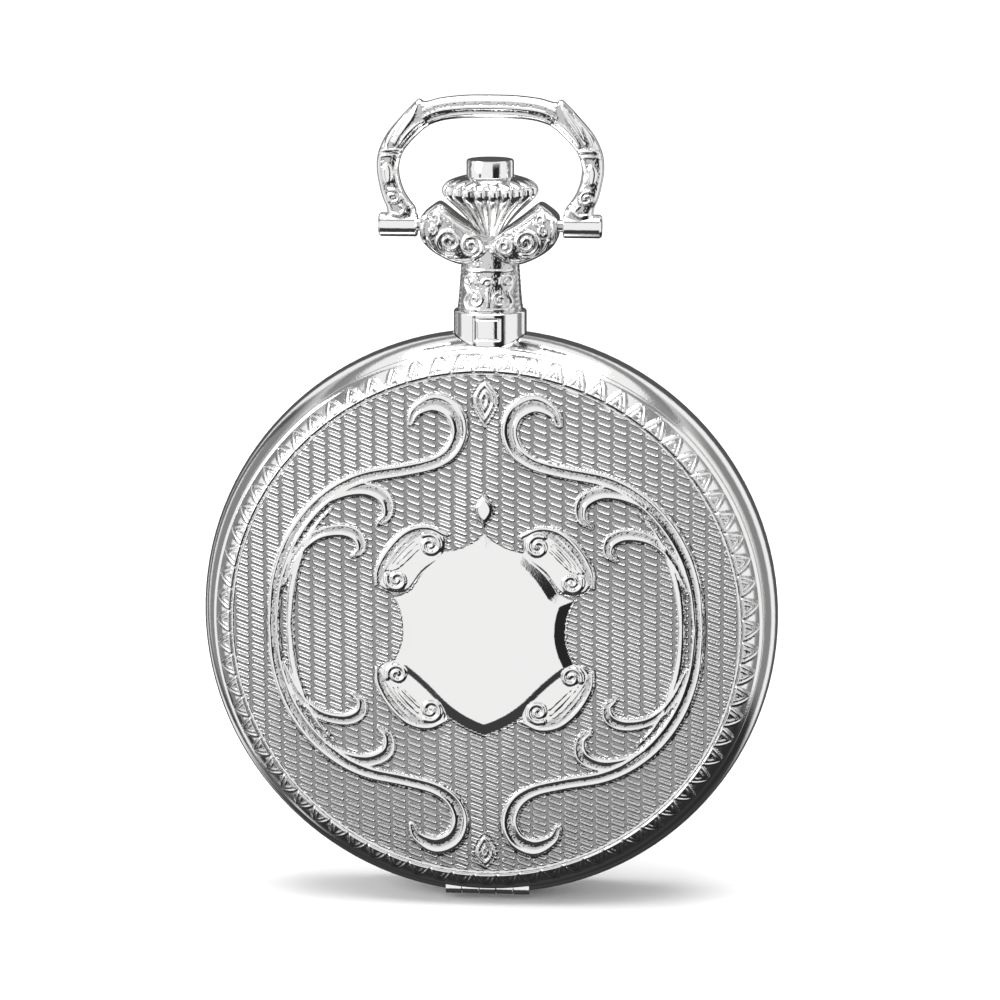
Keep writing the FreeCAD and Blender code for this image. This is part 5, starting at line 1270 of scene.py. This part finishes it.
    def head_shell(self) -> Shell:
        """The head as one rounded body with chased faces."""
        top = smooth_line(((0.0, 31.5), (0.5, 31.75), (1.4, 32.5), (2.6, 33.4), (3.8, 34.35),
                           (4.25, 34.52), (4.8, 34.2), (5.3, 33.8), (5.58, 33.45)), 9)
        low = smooth_line(((0.0, 30.3), (0.5, 29.95), (1.2, 29.5), (2.3, 29.45), (3.3, 29.75),
                           (4.2, 30.2), (4.8, 30.6), (5.3, 31.1), (5.58, 31.6)), 9)
        mirror = np.array([-1.0, 1.0])
        top = np.vstack([top[::-1] * mirror, top[1:]])
        low = np.vstack([low[::-1] * mirror, low[1:]])
        work = self.head_work()

        def relief(x: np.ndarray, z: np.ndarray) -> np.ndarray:
            """Height of the chasing on the head."""
            return carve(work, np.abs(x), z)[0]

        return inflate(top, low, self.head_depth, 96, 0.5, relief)

    def build(self, shop: Workshop) -> None:
        """Make the pendant."""
        shop.piece("pendant_head", self.head_shell(), CASE_SILVER, "case",
                   ("pendant",))
        shop.piece("pendant_neck", self.neck_shell(), CASE_SILVER, "case")
        shop.piece("pendant_collar", self.collar_shell(), CASE_SILVER, "case")


@dataclass
class Crown:
    """The fluted onion crown and the push button in its top."""

    flutes: int = 20
    segments: int = 480
    hole_low: float = 35.5
    hole_reach: float = 2.3
    profile: tuple[Point, ...] = ((0.84, 31.75), (0.95, 31.95), (1.35, 32.45), (1.85, 33.1),
                                  (2.5, 33.8), (3.2, 34.45), (3.75, 35.0), (3.96, 35.4),
                                  (3.9, 35.85), (3.55, 36.2), (3.0, 36.45), (2.45, 36.62),
                                  (2.2, 36.68), (2.06, 36.6), (2.06, 36.0))
    button: tuple[Point, ...] = ((1.8, 36.4), (1.95, 36.45), (1.95, 37.9), (1.88, 38.04),
                                 (1.75, 38.08), (1.2, 38.08), (0.05, 38.08))

    def ribbed(self, radius: np.ndarray, angle: np.ndarray, place: np.ndarray) -> np.ndarray:
        """Cut rounded flutes that fade out towards the top and stay out of the hole."""
        wave = np.abs(np.sin(angle * self.flutes / 2))
        fade = np.clip((36.55 - place) / 0.5, 0, 1) * np.clip((radius - 0.9) / 0.8, 0, 1)
        fade = np.where((place > self.hole_low) & (radius < self.hole_reach), 0.0, fade)
        return radius * (1 - 0.115 * fade * (1 - wave) ** 1.3)

    def build(self, shop: Workshop) -> None:
        """Make the crown and its button."""
        line = smooth_line(self.profile, 8)
        shell = lathe([tuple(row) for row in line], self.segments, flutes=self.ribbed,
                      closed=False)
        angle = np.tile(np.arange(self.segments) * 2 * math.pi / self.segments, len(line))
        # Hollow mask in the bottoms of the flutes: painted shade and painted dark reflection,
        # partly tarnish.
        deep = np.clip(1 - np.abs(np.sin(angle * self.flutes / 2)) * 2.6, 0, 1)
        fade = np.clip((36.4 - np.repeat(line[:, 1], self.segments)) / 0.6, 0, 1)
        shell.masks["hollow"] = deep * fade * 0.85
        shop.piece("fluted_crown", shell, CASE_SILVER, "crown", ("crown",))
        top = lathe(self.button, 96)
        top.sharp = 40.0
        shop.piece("push_button", top, CASE_SILVER, "button",
                   ("crown_button",))


@dataclass
class DialPrint:
    """Roman numerals, minute track and seconds track printed on the dial."""

    level: float = 9.36
    numeral_radius: float = 15.6
    numeral_height: float = 3.2
    track_radius: float = 18.6
    seconds_centre: Point = (0.0, -8.93)
    seconds_radius: float = 3.4
    ring_parts: int = 120
    numerals: tuple[str, ...] = ("XII", "I", "II", "III", "IIII", "V", "VI", "VII", "VIII",
                                 "IX", "X", "XI")

    def stroke(self, start: Point, end: Point, width: float) -> list[Point]:
        """Corners of one straight stroke."""
        dx, dz = end[0] - start[0], end[1] - start[1]
        long = math.hypot(dx, dz)
        nx, nz = -dz / long * width / 2, dx / long * width / 2
        return [(start[0] + nx, start[1] + nz), (start[0] - nx, start[1] - nz),
                (end[0] - nx, end[1] - nz), (end[0] + nx, end[1] + nz)]

    def letter(self, letter: str) -> tuple[list[list[Point]], float]:
        """Strokes of a numeral's letter, and its width."""
        high = self.numeral_height / 2
        if letter == "I":
            return [self.stroke((0, -high), (0, high), 0.42),
                    self.stroke((-0.42, high), (0.42, high), 0.12),
                    self.stroke((-0.42, -high), (0.42, -high), 0.12)], 0.85
        if letter == "V":
            return [self.stroke((-0.62, high), (0, -high), 0.42),
                    self.stroke((0.62, high), (0.05, -high), 0.14),
                    self.stroke((-0.95, high), (-0.3, high), 0.12),
                    self.stroke((0.35, high), (0.95, high), 0.12)], 1.75
        return [self.stroke((-0.65, high), (0.65, -high), 0.42),
                self.stroke((0.65, high), (-0.65, -high), 0.14),
                self.stroke((-1.0, high), (-0.35, high), 0.12),
                self.stroke((0.35, -high), (1.0, -high), 0.12)], 1.8

    def placed(self, corners: Sequence[Point], radius: float, degrees: float,
               centre: Point = (0.0, 0.0)) -> list[Point]:
        """Move corners out to a radius and round to an hour."""
        a = math.radians(degrees)
        return [(centre[0] + x * math.cos(a) + (z + radius) * math.sin(a),
                 centre[1] - x * math.sin(a) + (z + radius) * math.cos(a)) for x, z in corners]

    def ring(self, radius: float, width: float, centre: Point = (0.0, 0.0)) -> list[list[Point]]:
        """A thin ring as short strokes."""
        count = self.ring_parts
        out = []
        for i in range(count):
            a, b = 2 * math.pi * i / count, 2 * math.pi * (i + 1) / count
            out.append([(centre[0] + r * math.sin(t), centre[1] + r * math.cos(t))
                        for r, t in ((radius, a), (radius, b), (radius + width, b),
                                     (radius + width, a))])
        return out

    def build(self, shop: Workshop) -> None:
        """Print the dial."""
        marks: list[list[Point]] = []
        for hour, numeral in enumerate(self.numerals):
            if hour == 6:
                continue
            letters = [self.letter(letter) for letter in numeral]
            total = sum(width for _, width in letters)
            at = -total / 2
            for strokes, width in letters:
                for stroke in strokes:
                    moved = [(x + at + width / 2, z) for x, z in stroke]
                    marks.append(self.placed(moved, self.numeral_radius, hour * 30))
                at += width
        for minute in range(60):
            wide = 0.22 if minute % 5 == 0 else 0.09
            marks.append(self.placed(self.stroke((0, 0), (0, 0.8), wide), self.track_radius,
                                     minute * 6))
            long = 0.6 if minute % 5 == 0 else 0.35
            marks.append(self.placed(self.stroke((0, -long), (0, 0), 0.06),
                                     self.seconds_radius, minute * 6, self.seconds_centre))
        marks += self.ring(self.track_radius, 0.07) + self.ring(self.track_radius + 0.8, 0.07)
        shop.piece("dial_printing", self.flat(marks, self.level - 0.002 + 0.012), INK,
                   "case")

    def flat(self, marks: Sequence[Sequence[Point]], level: float) -> Shell:
        """Thin flat marks lying at a level."""
        points, faces = [], []
        for corners in marks:
            base = len(points)
            points.extend((x, -level, z) for x, z in corners)
            faces.append(tuple(range(base, base + len(corners))))
        return Shell(np.array(points), faces)


@dataclass
class Movement:
    """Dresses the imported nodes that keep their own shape."""

    special: dict[str, Finish] = field(default_factory=lambda: {
        "case_middle": CASE_SILVER, "ring_jewels": RUBY, "crystal": GLASS,
        "dust_cover_glass": GLASS, "dial": ENAMEL})

    def build(self, shop: Workshop) -> None:
        """Give every shown node its finish from its material slot."""
        chosen = {row["node"]: row["material_slot"] for row in frame["record"]["subparts"]}
        for name, thing in frame["nodes"].items():
            finish = self.special.get(name, SLOT_FINISHES.get(chosen.get(name, ""), STEEL))
            material = shop.finish(finish)
            for holder in thing.material_slots:
                holder.material = material
            REPORT.info("%s: packed node in %s", name, finish.name)


@dataclass
class Studio:
    """Floor, light and camera.

    Attributes:
        distance: from the camera to the watch, in metres.
        turn: how far the camera stands to the right, in degrees.
        rise: how far it looks down, in degrees.
        width: how much it takes in at the watch, in metres.
        aim: where it looks, in metres.
    """

    distance: float = 0.35
    turn: float = 5.0
    rise: float = 11.0
    width: float = 0.0831
    aim: tuple[float, float, float] = (0.0008, -0.0062, 0.00965)

    def floor(self) -> None:
        """A pale floor that sweeps up into a backdrop."""
        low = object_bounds()[0].z
        rows = [(-1.2, 0.0), (0.5, 0.0)]
        rows += [(0.5 + 0.5 * math.sin(a), 0.5 - 0.5 * math.cos(a))
                 for a in (math.radians(6 * i) for i in range(1, 16))]
        rows.append((1.0, 1.4))
        points = [(x, y, low + z) for y, z in rows for x in (-1.6, 1.6)]
        faces = [(2 * i, 2 * i + 1, 2 * i + 3, 2 * i + 2) for i in range(len(rows) - 1)]
        mesh = bpy.data.meshes.new("floor")
        mesh.from_pydata(points, [], faces)
        mesh.shade_smooth()
        thing = bpy.data.objects.new("floor", mesh)
        bpy.context.scene.collection.objects.link(thing)
        thing.visible_glossy = False
        material = bpy.data.materials.new("floor")
        material.use_nodes = True
        bench = Bench(material.node_tree)
        shader = bench.add("ShaderNodeBsdfDiffuse", None, {"Color": (0.93, 0.93, 0.93, 1.0)})
        bench.add("ShaderNodeOutputMaterial", None, {"Surface": shader.out()})
        mesh.materials.append(material)
        thing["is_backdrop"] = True

    def world(self) -> None:
        """Soft light all round, with dark bands to the right, below, beside and behind."""
        world = bpy.data.worlds.new("studio")
        world.use_nodes = True
        bpy.context.scene.world = world
        bench = Bench(world.node_tree)
        ray = bench.add("ShaderNodeTexCoord").out("Generated")
        split = bench.add("ShaderNodeSeparateXYZ", None, {0: ray})
        x, y, z = split.out("X"), split.out("Y"), split.out("Z")
        dark = (x.ramp(0.22, 0.34) * x.ramp(0.84, 0.72) * (1 - z.ramp(0.2, 0.45))
                * (1 - y.ramp(-0.3, 0.0)))
        low = (-z).ramp(0.42, 0.56) * (1 - (-x).ramp(0.5, 0.7)) * 0.97
        stripe = (-x).ramp(0.62, 0.68) * (-x).ramp(0.80, 0.74) * (1 - z.ramp(0.4, 0.6))
        high = z.ramp(0.62, 0.68) * z.ramp(0.8, 0.76)
        behind = y.ramp(0.74, 0.82) * 0.92
        beside = y.ramp(0.1, 0.25) * y.ramp(0.6, 0.5) * (1 - z.ramp(0.45, 0.8)) * 0.75
        open_ = (1 - dark) * (1 - low) * (1 - stripe * 0.9) * (1 - high * 0.7)
        light = open_ * (1 - behind) * (1 - beside) * 0.9 + 0.02
        colour = bench.add("ShaderNodeCombineXYZ", None, {0: light, 1: light, 2: light}).out()
        back = bench.add("ShaderNodeBackground", None, {"Color": colour, "Strength": 1.0})
        bench.add("ShaderNodeOutputWorld", None, {"Surface": back.out()})

    def lamp(self, name: str, where: Sequence[float], size: float, power: float) -> None:
        """One square softbox that faces the watch."""
        data = bpy.data.lights.new(name, "AREA")
        data.shape = "SQUARE"
        data.size = size
        data.energy = power
        thing = bpy.data.objects.new(name, data)
        thing.location = where
        to_watch = Vector(self.aim) - Vector(where)
        thing.rotation_euler = to_watch.to_track_quat("-Z", "Y").to_euler()
        bpy.context.scene.collection.objects.link(thing)

    def camera(self) -> None:
        """The camera, a little to the right and above."""
        turn, rise = math.radians(self.turn), math.radians(self.rise)
        back = Vector((math.sin(turn) * math.cos(rise), -math.cos(turn) * math.cos(rise),
                       math.sin(rise)))
        data = bpy.data.cameras.new("camera")
        data.sensor_width = 36.0
        data.lens = data.sensor_width * self.distance / self.width
        data.clip_start, data.clip_end = 0.01, 10.0
        thing = bpy.data.objects.new("camera", data)
        thing.location = Vector(self.aim) + back * self.distance
        thing.rotation_mode = "QUATERNION"
        thing.rotation_quaternion = (-back).to_track_quat("-Z", "Y")
        bpy.context.scene.collection.objects.link(thing)
        bpy.context.scene.camera = thing

    def build(self) -> None:
        """Set up the studio."""
        self.floor()
        self.world()
        self.lamp("top_softbox", (0.0, -0.05, 0.75), 0.7, 6.0)
        self.lamp("left_softbox", (-0.65, -0.45, 0.35), 0.5, 3.0)
        self.camera()
        bpy.context.scene.view_settings.view_transform = "Standard"


def main() -> None:
    """Build every sub-assembly in order and note the sizes."""
    logging.basicConfig(level=logging.INFO, format="%(message)s")
    shop = Workshop()
    Movement().build(shop)
    Cover().build(shop)
    Pendant().build(shop)
    Crown().build(shop)
    Bow().build(shop)
    DialPrint().build(shop)
    Studio().build()


if __name__ == "__main__":
    main()
